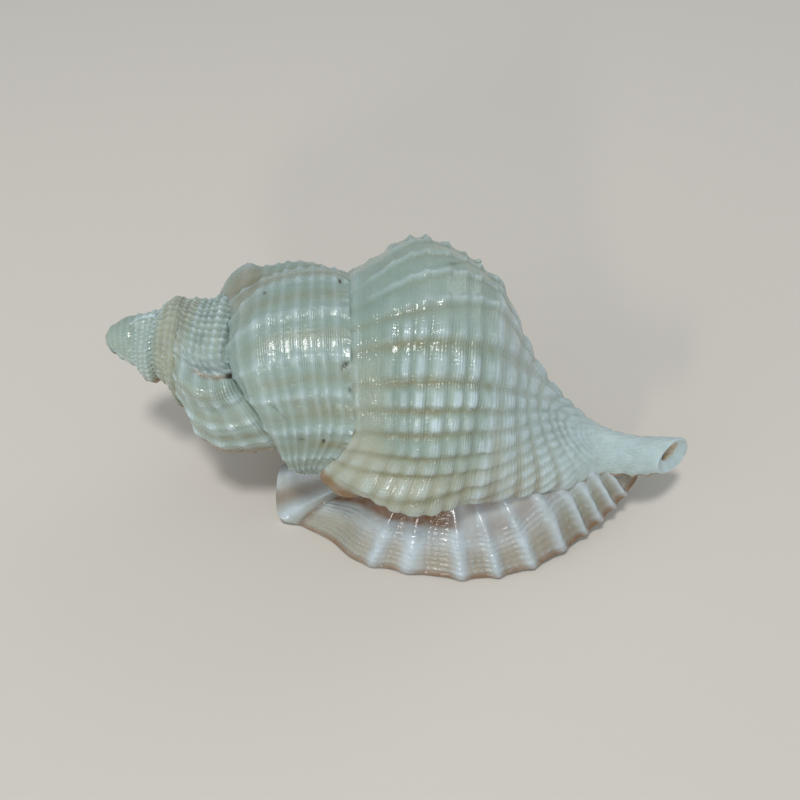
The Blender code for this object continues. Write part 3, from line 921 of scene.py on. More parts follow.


# Painted shade in the whorl masks: part of the tan below each rib, the brown in the lip's furrow and on the
# undersides, and the dark in the seams.
@dataclass(frozen=True)
class Tint:
    """The masks of the whorls: white on the nodes, tan and brown in the grooves, and the stained zones."""

    form: WhorlForm = WhorlForm()
    base_from: Span = (0.0, 0.03)
    groove: Span = (0.46, 0.20)
    olive: Span = (0.45, 0.17)
    cord_power: float = 1.5
    fold_span: Span = (0.24, 0.46)
    tip_bead: Span = (0.15, 1.2)
    thread_below: Span = (0.30, 0.60)
    thread_growth: Span = (-1500.0, -900.0)
    thread_seam: Span = (0.0, 0.02)
    thread_front: Span = (0.95, 0.98)

    def fields(self, net: Net, old_lip: Array, collar: Array) -> dict[On, Array]:
        """Everything that the patches of colour follow.

        Args:
            net: The net at each point.
            old_lip: How far a point is on an earlier lip.
            collar: How far it is on the collar or the cement of a seam.

        Returns:
            The fields.
        """
        base = net.last * ramp(net.below, *self.base_from)
        node = net.cord * net.rib
        covered = net.growth < self.form.last_growth - TURN
        reach = fall(net.below, *self.thread_below) * ramp(net.growth, *self.thread_growth)
        reach = reach * ramp(net.across, *self.thread_seam)
        return {
            On.ONE: np.ones_like(base),
            On.LAST: net.last,
            On.BAND: net.last - base,
            On.BASE: base,
            On.NARROW: net.last * (1.0 - net.wide),
            On.MIDDLE: net.middle,
            On.OLDER: (1.0 - net.last) * (1.0 - net.middle),
            On.CORD: net.cord,
            On.GAP: 1.0 - net.cord,
            On.RIB: net.rib,
            On.OFF_RIB: 1.0 - net.rib,
            On.NODE: node,
            On.BEAD: np.clip(self.tip_bead[0] + self.tip_bead[1] * node, 0.0, 1.0),
            On.DRAW: net.node_draw,
            On.GROOVE: hump(np.mod(net.stage + self.groove[0], 1.0), 0.5, self.groove[1]),
            On.OLIVE: hump(np.mod(net.stage + self.olive[0], 1.0), 0.5, self.olive[1]),
            On.FOLD: net.wide * net.cord**self.cord_power * ramp(net.stage, *self.fold_span),
            On.OLD_LIP: np.sqrt(np.clip(old_lip, 0.0, 1.0)),
            On.COLLAR: collar,
            On.REACH: reach * (1.0 - ramp(net.across, *self.thread_front) * covered),
            On.GROWTH: net.growth,
            On.ACROSS: net.across,
            On.BELOW: net.below,
            On.ALONG: self.form.band(net.growth, net.across)[0],
            On.TURNED: np.mod(net.growth + self.form.line.lip_angle, TURN),
        }

    def masks(self, net: Net, old_lip: Array, collar: Array, dark: Array) -> dict[Mask, Array]:
        """All the masks.

        Args:
            net: The net at each point.
            old_lip: How far a point is on an earlier lip.
            collar: How far it is on the collar or the cement of a seam.
            dark: How dark a pit is there, and the painted shade in a seam's crevice.

        Returns:
            Each mask, held between 0 and 1 except the threads'.
        """
        fields = self.fields(net, old_lip, collar)
        found = {mask: patches.at(fields) for mask, patches in WHORL_MASKS.items()} | {Mask.DARK: dark}
        free = {Mask.THREAD}
        return {mask: found[mask] if mask in free else np.clip(found[mask], 0.0, 1.0) for mask in found}


@dataclass(frozen=True)
class Sculpture:
    """The net of spiral cords and ribs, with a node at each crossing, and the old lips, pits and stains."""

    form: WhorlForm = WhorlForm()
    net: NetForm = NetForm()
    tint: Tint = Tint()
    pits: tuple[Pit, ...] = PITS
    lumps: tuple[Lump, ...] = LUMPS
    cord_height: float = 0.11
    rib_height: float = 0.17
    crest_height: float = 0.15
    node_height: float = 0.15
    node_draws: Span = (0.6, 0.8)
    rib_draws: Span = (0.75, 0.5)
    cord_draws: Span = (0.7, 0.5)
    smooth_across: Span = (0.08, 0.36)
    smooth_ribs: float = 0.50
    smooth_cords: float = 0.75
    middle_ribs: float = 0.35
    middle_rib_span: Span = (0.12, 0.42)
    middle_cords: float = 0.3
    base_rib_loss: Span = (0.35, 0.88)
    base_rib_span: Span = (0.02, 0.20)
    neck_rib_span: Span = (0.38, 0.62)
    neck_cord_loss: Span = (0.35, 0.65)
    neck_cord_span: Span = (0.40, 0.65)
    tip_cord_span: Span = (0.90, 0.98)
    lip_cord_loss: float = 0.30
    lip_cord_span: Span = (-70.0, -24.0)
    sizes: Four = (0.70, 0.20, 0.10, 0.10)
    size_span: Span = (-900.0, -500.0)
    older_span: Four = (-1080.0, -940.0, -800.0, -680.0)
    calm: float = 0.6
    calm_growth: Span = (-340.0, 22.0)
    calm_across: Span = (0.1, 0.3)
    lip_span: Span = (-15.0, -7.0)
    lip_rib_loss: float = 0.5
    lip_node_loss: float = 0.1
    node_gains: tuple[float, float, float] = (0.5, -0.1, 1.1)
    shoulder_nodes: Span = (-165.0, 35.0)
    lip_height: float = 0.28
    lip_heights: Span = (0.35, 0.65)
    lip_step_back: float = 22.0
    lip_step_length: float = 7.0
    collar_height: float = 0.15
    collar_at: Span = (0.035, 0.026)
    cement_height: float = 0.16
    cement_pitch: float = 3.1
    cement_stray: Span = (3.0, 0.9)
    cement_from: Span = (0.90, 0.97)
    painted_seam_shade: float = 0.6
    seam_dark_from: Span = (0.975, 1.0)
    seam_dark_growth: Span = (-385.0, 40.0)
    pit_dark: float = 7.0
    pit_darkest: float = 1.2
    bead_growth: float = 0.5
    bead_half: float = 4.5
    bead_height: float = 0.30
    bead_below: Span = (0.08, 0.22)
    bead_gap_half: float = 7.0
    bead_gap_tan: float = 0.8
    base_starts: float = 6.0
    edge_fades: Span = (5.0, 9.5)

    def rib_share(self, net: Net) -> Array:
        """Share of the ribs' full height: less at the left of the last whorl and down the neck.

        Args:
            net: The net at each point.

        Returns:
            The share at each point.
        """
        smooth = self.smooth_ribs * net.last * fall(net.across, *self.smooth_across)
        middle = self.middle_ribs * net.middle * fall(net.across, *self.middle_rib_span)
        near, far = self.base_rib_loss
        share = (1.0 - smooth - middle) * (1.0 - near * ramp(net.below, *self.base_rib_span))
        return share * (1.0 - far * ramp(net.below, *self.neck_rib_span))

    def cord_share(self, net: Net) -> Array:
        """Share of the cords' full height, uneven from one to the next, and none at the tip of the canal.

        Args:
            net: The net at each point.

        Returns:
            The share at each point.
        """
        smooth = self.smooth_cords * net.last * fall(net.across, *self.smooth_across)
        share = (1.0 - smooth - self.middle_cords * net.middle) * (
            self.cord_draws[0] + self.cord_draws[1] * net.cord_draw)
        neck = self.neck_cord_loss[0] * ramp(net.below, *self.neck_cord_span)
        tip = self.neck_cord_loss[1] * ramp(net.below, *self.tip_cord_span)
        return share * (1.0 - neck - tip) * (1.0 - self.lip_cord_loss * net.last * ramp(
            net.growth, *self.lip_cord_span))

    def size(self, net: Net) -> Array:
        """Size of the whole net, which grows with the shell and is calm where the last whorl starts.

        Args:
            net: The net at each point.

        Returns:
            The share of its full height that the net has.
        """
        first, grown, last, older = self.sizes
        size = first + grown * ramp(net.growth, *self.size_span) + last * net.last
        size = net.grown * (size + older * plateau(net.growth, *self.older_span))
        calm = self.calm * hump(net.growth, *self.calm_growth) * (net.station <= 1.0)
        return size * (1.0 - calm * ramp(net.across, *self.calm_across))

    def net_height(self, net: Net) -> Array:
        """Height of the cords, the ribs and their nodes.

        Args:
            net: The net at each point.

        Returns:
            The sum of the three, each with its own share, in millimetres.
        """
        rib_share, cord_share = self.rib_share(net), self.cord_share(net)
        lip = net.last * ramp(net.growth, *self.lip_span)
        rib = net.wide * self.rib_height * net.fold + (1.0 - net.wide) * self.crest_height * net.crest
        rib = rib * rib_share * (self.rib_draws[0] + self.rib_draws[1] * net.rib_draw)
        node = net.cord * net.rib * (self.node_draws[0] + self.node_draws[1] * net.node_draw)
        node = self.node_height * node * rib_share * np.sqrt(np.maximum(cord_share, 0.0))
        middle, older, shoulder = self.node_gains
        gain = 1.0 + middle * net.middle + older * (1.0 - net.last) * (1.0 - net.middle)
        gain = gain + shoulder * hump(net.growth, *self.shoulder_nodes)
        return self.size(net) * (
            self.cord_height * net.cord * cord_share + rib * (1.0 - self.lip_rib_loss * lip)
            + node * (1.0 - self.lip_node_loss * lip) * gain
        )

    def lump_height(self, net: Net) -> Array:
        """Height of the lumps, each carried over the seam to the whorls before and after it.

        Args:
            net: The net at each point.

        Returns:
            The height in millimetres.
        """
        return sum(
            lump.height * hump(net.growth - TURN * turns, lump.growth, lump.half_growth)
            * hump(net.station + turns, lump.station, lump.half_station)
            for lump in self.lumps for turns in (-1, 0, 1)
        )

    def old_lip(self, net: Net) -> Array:
        """How far a point is on an earlier lip, which ends in a step and fades out behind it.

        Args:
            net: The net at each point.

        Returns:
            1 at the step, less the further behind it, and 0 before it and on the last whorl.
        """
        half = self.form.varix_step / 2.0
        step = np.mod(net.growth + half, self.form.varix_step) - half + self.lip_step_back
        fade = np.exp(-np.maximum(-step, 0.0) / self.lip_step_length)
        return (1.0 - net.last) * net.grown * fade * (step <= 0.0)

    def lay(self, growth: Array, station: Array) -> Relief:
        """Work out the sculpture.

        The height is the net's, the lumps', the old lips', the collar's below each seam and the cement's
        above it, less the pits', plus a row of beads at the edge of the lip on the base.

        Args:
            growth: Angles of growth.
            station: 0 to 1 across the band, and on to 2 down the base.

        Returns:
            The height in millimetres, the masks and the counts.
        """
        net = self.net.weave(growth, station)
        growth, station = net.growth, net.station
        old_lip = self.old_lip(net)
        height = self.net_height(net) + self.lump_height(net)
        lip_share = self.lip_heights[0] + self.lip_heights[1] * self.size(net)
        height = height + self.lip_height * lip_share * old_lip

        covered = 1.0 * (growth < self.form.last_growth - TURN)
        collar = hump(station, *self.collar_at) * ramp(growth, *self.size_span)
        stray, rate = self.cement_stray
        rough = 0.5 + 0.5 * np.sin(2.0 * np.pi * growth / self.cement_pitch + stray * np.sin(rate * growth))
        cement = covered * ramp(station, *self.cement_from) * rough * ramp(growth, *self.size_span)
        height = height + self.collar_height * collar + self.cement_height * cement
        # Painted shade: the crevice at the end of each covered whorl darkens between the lumps of cement.
        dark = self.painted_seam_shade * covered * ramp(station, *self.seam_dark_from) * (1.0 - rough)
        dark = dark * hump(growth, *self.seam_dark_growth)
        for pit in self.pits:
            offset = (growth - pit.growth) - pit.slant * (station - pit.station)
            hole = hump(offset, 0.0, pit.length) * hump(station, pit.station, pit.width)
            height = height - pit.depth * hole
            dark = np.maximum(dark, np.clip(self.pit_dark * pit.depth, 0.0, self.pit_darkest) * hole)

        on_edge = net.last * ramp(net.below, *self.bead_below)
        beads = on_edge * hump(growth, self.bead_growth, self.bead_half) * net.keen
        gaps = on_edge * hump(growth, self.bead_growth, self.bead_gap_half) * (1.0 - net.keen)
        base_starts = self.form.last_growth - TURN
        bare = (station > 1.0) * fall(growth, base_starts, base_starts + self.base_starts)
        height = (height + self.bead_height * beads) * fall(growth, *self.edge_fades) * (1.0 - bare)

        masks = self.tint.masks(net, old_lip, np.maximum(collar, cement), dark)
        masks[Mask.WHITE] = np.maximum(masks[Mask.WHITE], beads)
        masks[Mask.TAN] = np.maximum(masks[Mask.TAN], self.bead_gap_tan * gaps)
        return Relief(height, masks, net.ribs, net.cords)


@dataclass
class Skin:
    """Points, faces and marks of one closed mesh, gathered part by part."""

    points: list[Array] = field(default_factory=list)
    masks: dict[Mask, list[Array]] = field(default_factory=lambda: {mask: [] for mask in Mask})
    counts: list[Array] = field(default_factory=list)
    faces: list[Array] = field(default_factory=list)
    total: int = 0

    def add_points(self, points: Array, relief: Relief | None = None) -> Array:
        """Add points and the marks that go with them.

        Args:
            points: Points in millimetres, on any grid.
            relief: The sculpture there, or nothing for plain points.

        Returns:
            The numbers of the new points, on the same grid.
        """
        shape = points.shape[:-1]
        size = int(np.prod(shape))
        self.points.append(points.reshape(-1, 3))
        for mask in Mask:
            values = relief.masks.get(mask) if relief else None
            plain = np.zeros(size) if values is None else np.broadcast_to(values, shape).reshape(-1)
            self.masks[mask].append(plain)
        counts = np.zeros((size, 2))
        if relief:
            counts[:, 0] = np.broadcast_to(relief.ribs, shape).reshape(-1)
            counts[:, 1] = np.broadcast_to(relief.cords, shape).reshape(-1)
        self.counts.append(counts)
        numbers = np.arange(self.total, self.total + size).reshape(shape)
        self.total += size
        return numbers

    def add_quads(self, grid: Array) -> None:
        """Join the points of a grid of numbers by quads."""
        quads = np.stack((grid[:-1, :-1], grid[:-1, 1:], grid[1:, 1:], grid[1:, :-1]), axis=-1)
        self.faces.append(quads.reshape(-1, QUAD))

    def add_ring_quads(self, rings: Array) -> None:
        """Join closed rings of numbers, one to the next, by quads."""
        self.add_quads(np.concatenate((rings, rings[:, :1]), axis=1))

    def add_fan(self, ring: Array, middle: int) -> None:
        """Join a closed ring of numbers to one point by triangles."""
        self.faces.append(np.stack((ring, np.roll(ring, -1), np.full(len(ring), middle)), axis=-1))

    def build(self, name: str, finish: Finish) -> bpy.types.Object:
        """Make the mesh object.

        Args:
            name: The object's name.
            finish: The finish of all its faces.

        Returns:
            A closed object with its faces turned outward, its masks in two corner attributes and its counts
            in a UV map.
        """
        mesh = self.make_mesh(name)
        self.mark(mesh)
        for entry in Finish:
            mesh.materials.append(bpy.data.materials.get(entry.name) or bpy.data.materials.new(entry.name))
        slots = np.full(len(mesh.polygons), finish.value, dtype=np.int32)
        mesh.polygons.foreach_set("material_index", slots)
        mesh.polygons.foreach_set("use_smooth", np.ones(len(mesh.polygons), dtype=bool))
        mesh.update()
        thing = bpy.data.objects.new(name, mesh)
        bpy.context.scene.collection.objects.link(thing)
        return thing

    def make_mesh(self, name: str) -> bpy.types.Mesh:
        """Make the mesh in metres, with its faces turned outward.

        Args:
            name: The mesh's name.

        Returns:
            The mesh. A corner that a face names twice is kept once, and faces of five corners or more are cut
            into triangles.
        """
        points = (np.concatenate(self.points) - np.array(MIDDLE)) * MM
        faces = [tuple(dict.fromkeys(face)) for block in self.faces for face in block.tolist()]
        mesh = bpy.data.meshes.new(name)
        mesh.from_pydata(points.tolist(), [], faces)
        work = bmesh.new()
        work.from_mesh(mesh)
        bmesh.ops.recalc_face_normals(work, faces=work.faces)
        bmesh.ops.triangulate(work, faces=[face for face in work.faces if len(face.verts) > QUAD])
        work.to_mesh(mesh)
        work.free()
        return mesh

    def mark(self, mesh: bpy.types.Mesh) -> None:
        """Write the masks and the counts to the corners of the mesh.

        Args:
            mesh: The mesh of the skin.
        """
        corners = np.zeros(len(mesh.loops), dtype=np.int32)
        mesh.loops.foreach_get("vertex_index", corners)
        channels = {name: np.zeros((len(corners), CHANNELS)) for name in ATTRIBUTES}
        for mask in Mask:
            attribute, channel = mask.value
            channels[attribute][:, channel] = np.concatenate(self.masks[mask])[corners]
        for attribute, values in channels.items():
            layer = mesh.color_attributes.new(attribute, "FLOAT_COLOR", "CORNER")
            layer.data.foreach_set("color", values.astype(np.float32).reshape(-1))
        counts = mesh.uv_layers.new(name=COUNTS)
        values = np.concatenate(self.counts)[corners]
        counts.uv.foreach_set("vector", values.astype(np.float32).reshape(-1))


@dataclass
class Whorls:
    """The coiled body: the band of every whorl, the base and canal of the last, and the two closed ends.

    Columns are the number of points across the band, from the oldest whorls to the last. A tip ring is its
    share of the rim's size, and how far it stands out.
    """

    form: WhorlForm = field(default_factory=WhorlForm)
    sculpture: Sculpture = field(default_factory=Sculpture)
    row_step: float = 1.2
    first_growth: float = -2258.0
    columns: tuple[int, ...] = (20, 40, 56, 64)
    oldest_stride: int = 2
    base_columns: int = 72
    slope_steps: Span = (0.4, 0.004)
    apex_before: float = -0.25
    tip_rings: tuple[Span, ...] = ((0.97, 0.14), (0.9, 0.2), (0.72, -0.05), (0.45, -0.3))
    tip_sinks: float = 0.4
    tip_white: float = 0.85

    def raised(self, growth: Array, station: Array) -> tuple[Array, Relief]:
        """Points of the sculptured surface.

        The normal is the cross product of the surface's two slopes, taken over short steps either side.

        Args:
            growth: Angles of growth.
            station: Stations along each row.

        Returns:
            The points moved out by the height of the relief, and the relief.
        """
        growth, station = np.broadcast_arrays(growth, station)
        surface = self.form.surface
        step, reach = self.slope_steps
        end = math.ceil(station.max())
        low, high = np.clip(station - reach, 0.0, end), np.clip(station + reach, 0.0, end)
        ahead = surface(growth + step, station) - surface(growth - step, station)
        normal = np.cross(surface(growth, high) - surface(growth, low), ahead)
        normal = normal / np.maximum(np.linalg.norm(normal, axis=-1, keepdims=True), TINY)
        points = surface(growth, station)
        centre = self.form.line.place(self.form.seam(growth), np.zeros_like(growth), growth)
        outward = np.sign(np.sum(normal * (points - centre), axis=-1).mean())
        relief = self.sculpture.lay(growth, station)
        return points + normal * outward * relief.height[..., None], relief

    def build(self) -> bpy.types.Object:
        """Build the coiled body as one closed skin, flat where the flange will cover the lip.

        Returns:
            The object.
        """
        skin = Skin()
        rows = round((self.form.last_growth - self.first_growth) / self.row_step) + 1
        per_turn = round(TURN / self.row_step)
        growth = self.form.last_growth - self.row_step * np.arange(rows - 1, -1, -1)
        blocks, places, seam = self.add_bands(skin, growth, per_turn)

        below = np.linspace(0.0, 1.0, self.base_columns + 1)
        last_turn = growth[rows - 1 - per_turn:]
        points, relief = self.raised(last_turn[:, None], 1.0 + below[None, :])
        neck = skin.add_points(points, relief)
        joined = int(np.searchsorted(below, self.form.canal_joins))
        neck[-1, joined:] = neck[0, joined:]
        neck[0, 0] = seam[-1]

        self.join_bands(skin, blocks, places, np.concatenate((seam[per_turn:], neck[1:, 0])))
        skin.add_quads(neck)
        self.close_tip(skin, neck[:-1, -1], points[:-1, -1])
        self.close_apex(skin, blocks[0], seam, per_turn)
        outer = np.concatenate((blocks[-1][-1], neck[-1, :joined + 1]))
        inner = neck[0, 1:joined]
        skin.faces.append(np.concatenate((outer, inner[::-1]))[None, :])
        return skin.build("whorls", Finish.WHORL)

    def add_bands(self, skin: Skin, growth: Array, per_turn: int) -> tuple[list[Array], list[Array], Array]:
        """Add the points of the bands, in blocks that are finer for younger turns.

        Args:
            skin: The skin to add to.
            growth: The growth of every row.
            per_turn: Rows in a turn.

        Returns:
            The numbers of each block's points, the rows that each block has, and the number of each row's
            point on the seam, or -1 where it has none.
        """
        rows = len(growth)
        younger = range(len(self.columns) - 1, 0, -1)
        starts = [0] + [rows - 1 - per_turn * turns for turns in younger] + [rows]
        seam = np.full(rows, -1)
        blocks, places = [], []
        for columns, first, end in zip(self.columns, starts[:-1], starts[1:]):
            place = np.arange(first, end, self.oldest_stride if first == 0 else 1)
            across = np.linspace(0.0, 1.0, columns + 1)[:-1]
            points, relief = self.raised(growth[place, None], across[None, :])
            blocks.append(skin.add_points(points, relief))
            places.append(place)
            seam[place] = blocks[-1][:, 0]
        return blocks, places, seam

    def join_bands(self, skin: Skin, blocks: list[Array], places: list[Array], front: Array) -> None:
        """Join each block within, to the whorl in front of it, and to the next block.

        Args:
            skin: The skin to add to.
            blocks: The numbers of each block's points.
            places: The rows that each block has.
            front: The number of the point at the front edge of every row.
        """
        for block, place in zip(blocks, places):
            skin.add_quads(block)
            start, end, after = front[place[:-1]], front[place[1:]], front[place[:-1] + 1]
            strided = place[1] - place[0] > 1
            between = np.where(after < 0, start, after) if strided else start
            skin.faces.append(np.stack((block[:-1, -1], start, between, end, block[1:, -1]), axis=-1))
        for older, younger, place in zip(blocks[:-1], blocks[1:], places[:-1]):
            last_place, next_place = place[-1], place[-1] + place[1] - place[0]
            coarse = np.append(older[-1], front[last_place])
            fine = np.append(younger[0], front[next_place])
            self.join_rows(skin, coarse, fine)
            if next_place - last_place > 1:
                skin.faces.append(front[last_place:next_place + 1][None, :])

    @staticmethod
    def join_rows(skin: Skin, coarse: Array, fine: Array) -> None:
        """Join two rows with different numbers of points by triangles.

        Args:
            skin: The skin to add to.
            coarse: Numbers of the row with fewer points.
            fine: Numbers of the row with more.
        """
        middles = (np.arange(len(fine) - 1) + 0.5) / (len(fine) - 1)
        nearest = np.rint(middles * (len(coarse) - 1)).astype(int)
        skin.faces.append(np.stack((fine[:-1], fine[1:], coarse[nearest]), axis=-1))
        turns = np.searchsorted(nearest, np.arange(len(coarse) - 1), side="right")
        skin.faces.append(np.stack((coarse[:-1], coarse[1:], fine[turns]), axis=-1))

    def close_tip(self, skin: Skin, ring: Array, rim: Array) -> None:
        """Close the end of the canal by rings that round over its lip and sink to a shallow spoon.

        Args:
            skin: The skin to add to.
            ring: Numbers of the canal's last ring.
            rim: Its points.
        """
        middle = rim.mean(axis=0)
        quarter = len(rim) // 4
        facing = np.cross(rim[quarter] - middle, rim[0] - middle)
        facing = facing / np.linalg.norm(facing)
        facing = facing * np.sign(facing[0])
        white = Relief.even((len(ring),), {Mask.WHITE: self.tip_white})
        rings = [skin.add_points(middle + (rim - middle) * share + facing * rise, white)
                 for share, rise in self.tip_rings]
        skin.add_ring_quads(np.stack((ring, *rings)))
        centre = skin.add_points((middle - facing * self.tip_sinks)[None, :])
        skin.add_fan(rings[-1], int(centre[0]))

    def close_apex(self, skin: Skin, block: Array, seam: Array, per_turn: int) -> None:
        """Close the first whorl with a fan to the apex.

        Args:
            skin: The skin to add to.
            block: Numbers of the oldest block's points.
            seam: The number of each row's point on the seam.
            per_turn: Rows in a turn.
        """
        place = self.form.line.place(np.array([self.apex_before]), np.zeros(1), np.array([self.first_growth]))
        apex = skin.add_points(place)
        first_turn = seam[:per_turn + 1]
        rim = np.concatenate((first_turn[first_turn >= 0], block[0, :0:-1]))
        skin.add_fan(rim, int(apex[0]))


@dataclass(frozen=True)
class FlangeForm:
    """The smooth plate of the flange, and where its ribs and its ear stand.

    The edge runs from the ear along the lip to the canal and back under the far side. A place on it is
    counted in knots, the numbers of the edge's points, and a share is 1 at the edge and 0 at the centre.
    """

    edge_points: tuple[tuple[float, float, float], ...] = (
        (-9.9, -8.6, 0.3), (-7.4, -9.3, 0.1), (-4.2, -10.5, 0.0), (-1.0, -12.4, 0.0), (3.5, -12.9, 0.0),
        (10.6, -12.7, 0.0), (16.9, -10.4, 0.2), (22.0, -5.9, 1.0), (25.0, -2.9, 3.2), (26.2, -1.0, 4.9),
        (25.0, 0.9, 4.4), (20.0, 4.2, 2.4), (13.0, 9.2, 0.5), (4.0, 12.2, 0.0), (-4.0, 10.6, 0.0),
        (-7.6, 5.6, 1.4), (-7.2, 0.6, 2.4), (-10.5, -4.7, 2.6),
    )
    centre: Span = (6.0, -2.0)
    thick: float = 0.9
    thins: float = 0.5
    edge_thick: float = 0.34
    edge_width: float = 0.06
    core_ring: float = 0.62
    core_blend: float = 0.4
    core_top: float = 9.0
    height: Span = (1.6, 6.8)
    breadth: float = 0.42
    power: float = 1.05
    hollow: Span = (0.9, 2.6)
    skirt_y: Span = (-4.0, 7.0)
    skirt_x: Span = (-12.0, -1.0)
    flush: float = 2.5
    flush_knots: Four = (5.5, 6.7, 8.5, 9.2)
    flush_reach: float = 0.17
    rib_places: tuple[Span, ...] = (
        (3.40, 0.21), (4.12, 0.18), (4.87, 0.12), (5.41, 0.10), (5.96, 0.10), (6.48, 0.10), (6.92, 0.09),
        (7.30, 0.10), (7.70, 0.10), (8.12, 0.12),
    )
    rib_breadth: float = 0.92
    scallop: float = 0.16
    scallop_out: float = 1.6
    scallop_in: float = 0.6
    scallop_knots: Four = (2.9, 3.5, 8.2, 8.9)
    scallop_share: Span = (0.72, 1.0)

    def edge(self, knots: Array) -> Array:
        """Points of the smooth edge.

        Args:
            knots: Places along the edge, counted in its points.

        Returns:
            The periodic Catmull-Rom curve through the edge's points.
        """
        fixed = np.array(self.edge_points)
        first = np.floor(knots).astype(int)
        t = (knots - first)[..., None]
        p0, p1, p2, p3 = (fixed[(first + step) % len(fixed)] for step in (-1, 0, 1, 2))
        return 0.5 * (
            2.0 * p1 + (p2 - p0) * t + (2.0 * p0 - 5.0 * p1 + 4.0 * p2 - p3) * t**2
            + (3.0 * p1 - p0 - 3.0 * p2 + p3) * t**3
        )

    def outward(self, knots: Array) -> Array:
        """Level directions of length 1 from the centre toward the edge.

        Args:
            knots: Places along the edge, counted in its points.

        Returns:
            The directions.
        """
        away = self.edge(knots) - np.array((*self.centre, 0.0))
        away[..., 2] = 0.0
        return away / np.linalg.norm(away, axis=-1, keepdims=True)

    def signed(self, knots: Array) -> Array:
        """Knots that run on below 0 for the half of the edge behind the ear."""
        total = len(self.edge_points)
        return np.where(knots > total / 2.0, knots - total, knots)

    def ribbing(self, knots: Array) -> Array:
        """Strength of the radial ribs at each place along the edge."""
        ribs = sum(hump(knots, place, self.rib_breadth * width) for place, width in self.rib_places)
        return np.clip(ribs, 0.0, 1.0)

    def skirt(self, edge: Array) -> Array:
        """1 where the edge belongs to the deep skirt under the lip, and 0 where it is a flat callus."""
        return ramp(-edge[..., 1], *self.skirt_y) * ramp(edge[..., 0], *self.skirt_x)

    def top(self, knots: Array, share: Array) -> Array:
        """Points of the upper side: a slope that climbs from the edge, by a power, into the body.

        Args:
            knots: Places along the edge.
            share: 1 at the edge to 0 at the centre.

        Returns:
            Points, with x, y and z on the last axis.
        """
        knots, share = np.broadcast_arrays(knots, share)
        edge = self.edge(knots)
        centre = np.array((*self.centre, 0.0))
        skirt = self.skirt(edge)
        points = centre + (edge - centre) * share[..., None]
        height = self.height[0] + (self.height[1] - self.height[0]) * skirt
        climb = (np.clip(1.0 - share, 0.0, 1.0) / self.breadth) ** self.power
        core = ramp(self.core_ring - share, 0.0, self.core_blend)
        rim = ramp(1.0 - share, 0.0, self.edge_width)
        thick = self.edge_thick + (self.thick * (1.0 - self.thins * share) - self.edge_thick) * rim
        flush = plateau(knots, *self.flush_knots) * ramp(1.0 - share, 0.0, self.flush_reach)
        points[..., 2] = edge[..., 2] * (1.0 - core) + thick
        points[..., 2] += (1.0 - core) * height * climb + core * self.core_top
        points[..., 2] += (1.0 - core) * self.flush * flush
        return points

    def under(self, knots: Array, share: Array) -> Array:
        """Points of the underside, hollowed toward the middle.

        Args:
            knots: Places along the edge.
            share: 1 at the edge to 0 at the centre.

        Returns:
            Points, with x, y and z on the last axis.
        """
        knots, share = np.broadcast_arrays(knots, share)
        edge = self.edge(knots)
        centre = np.array((*self.centre, 0.0))
        hollow = self.hollow[0] + (self.hollow[1] - self.hollow[0]) * self.skirt(edge)
        points = centre + (edge - centre) * share[..., None]
        points[..., 2] = edge[..., 2] * share**2 + (1.0 - share**2) * hollow
        return points

    def scalloped(self, points: Array, knots: Array, share: Array) -> Array:
        """Push points out at the ribs and draw them in between, more toward the edge.

        Args:
            points: Points of either side.
            knots: Their places along the edge.
            share: 1 at the edge to 0 at the centre.

        Returns:
            The moved points.
        """
        push = self.scallop * (self.scallop_out * self.ribbing(knots) - self.scallop_in)
        push = push * plateau(knots, *self.scallop_knots) * ramp(share, *self.scallop_share)
        return points + self.outward(knots) * push[..., None]


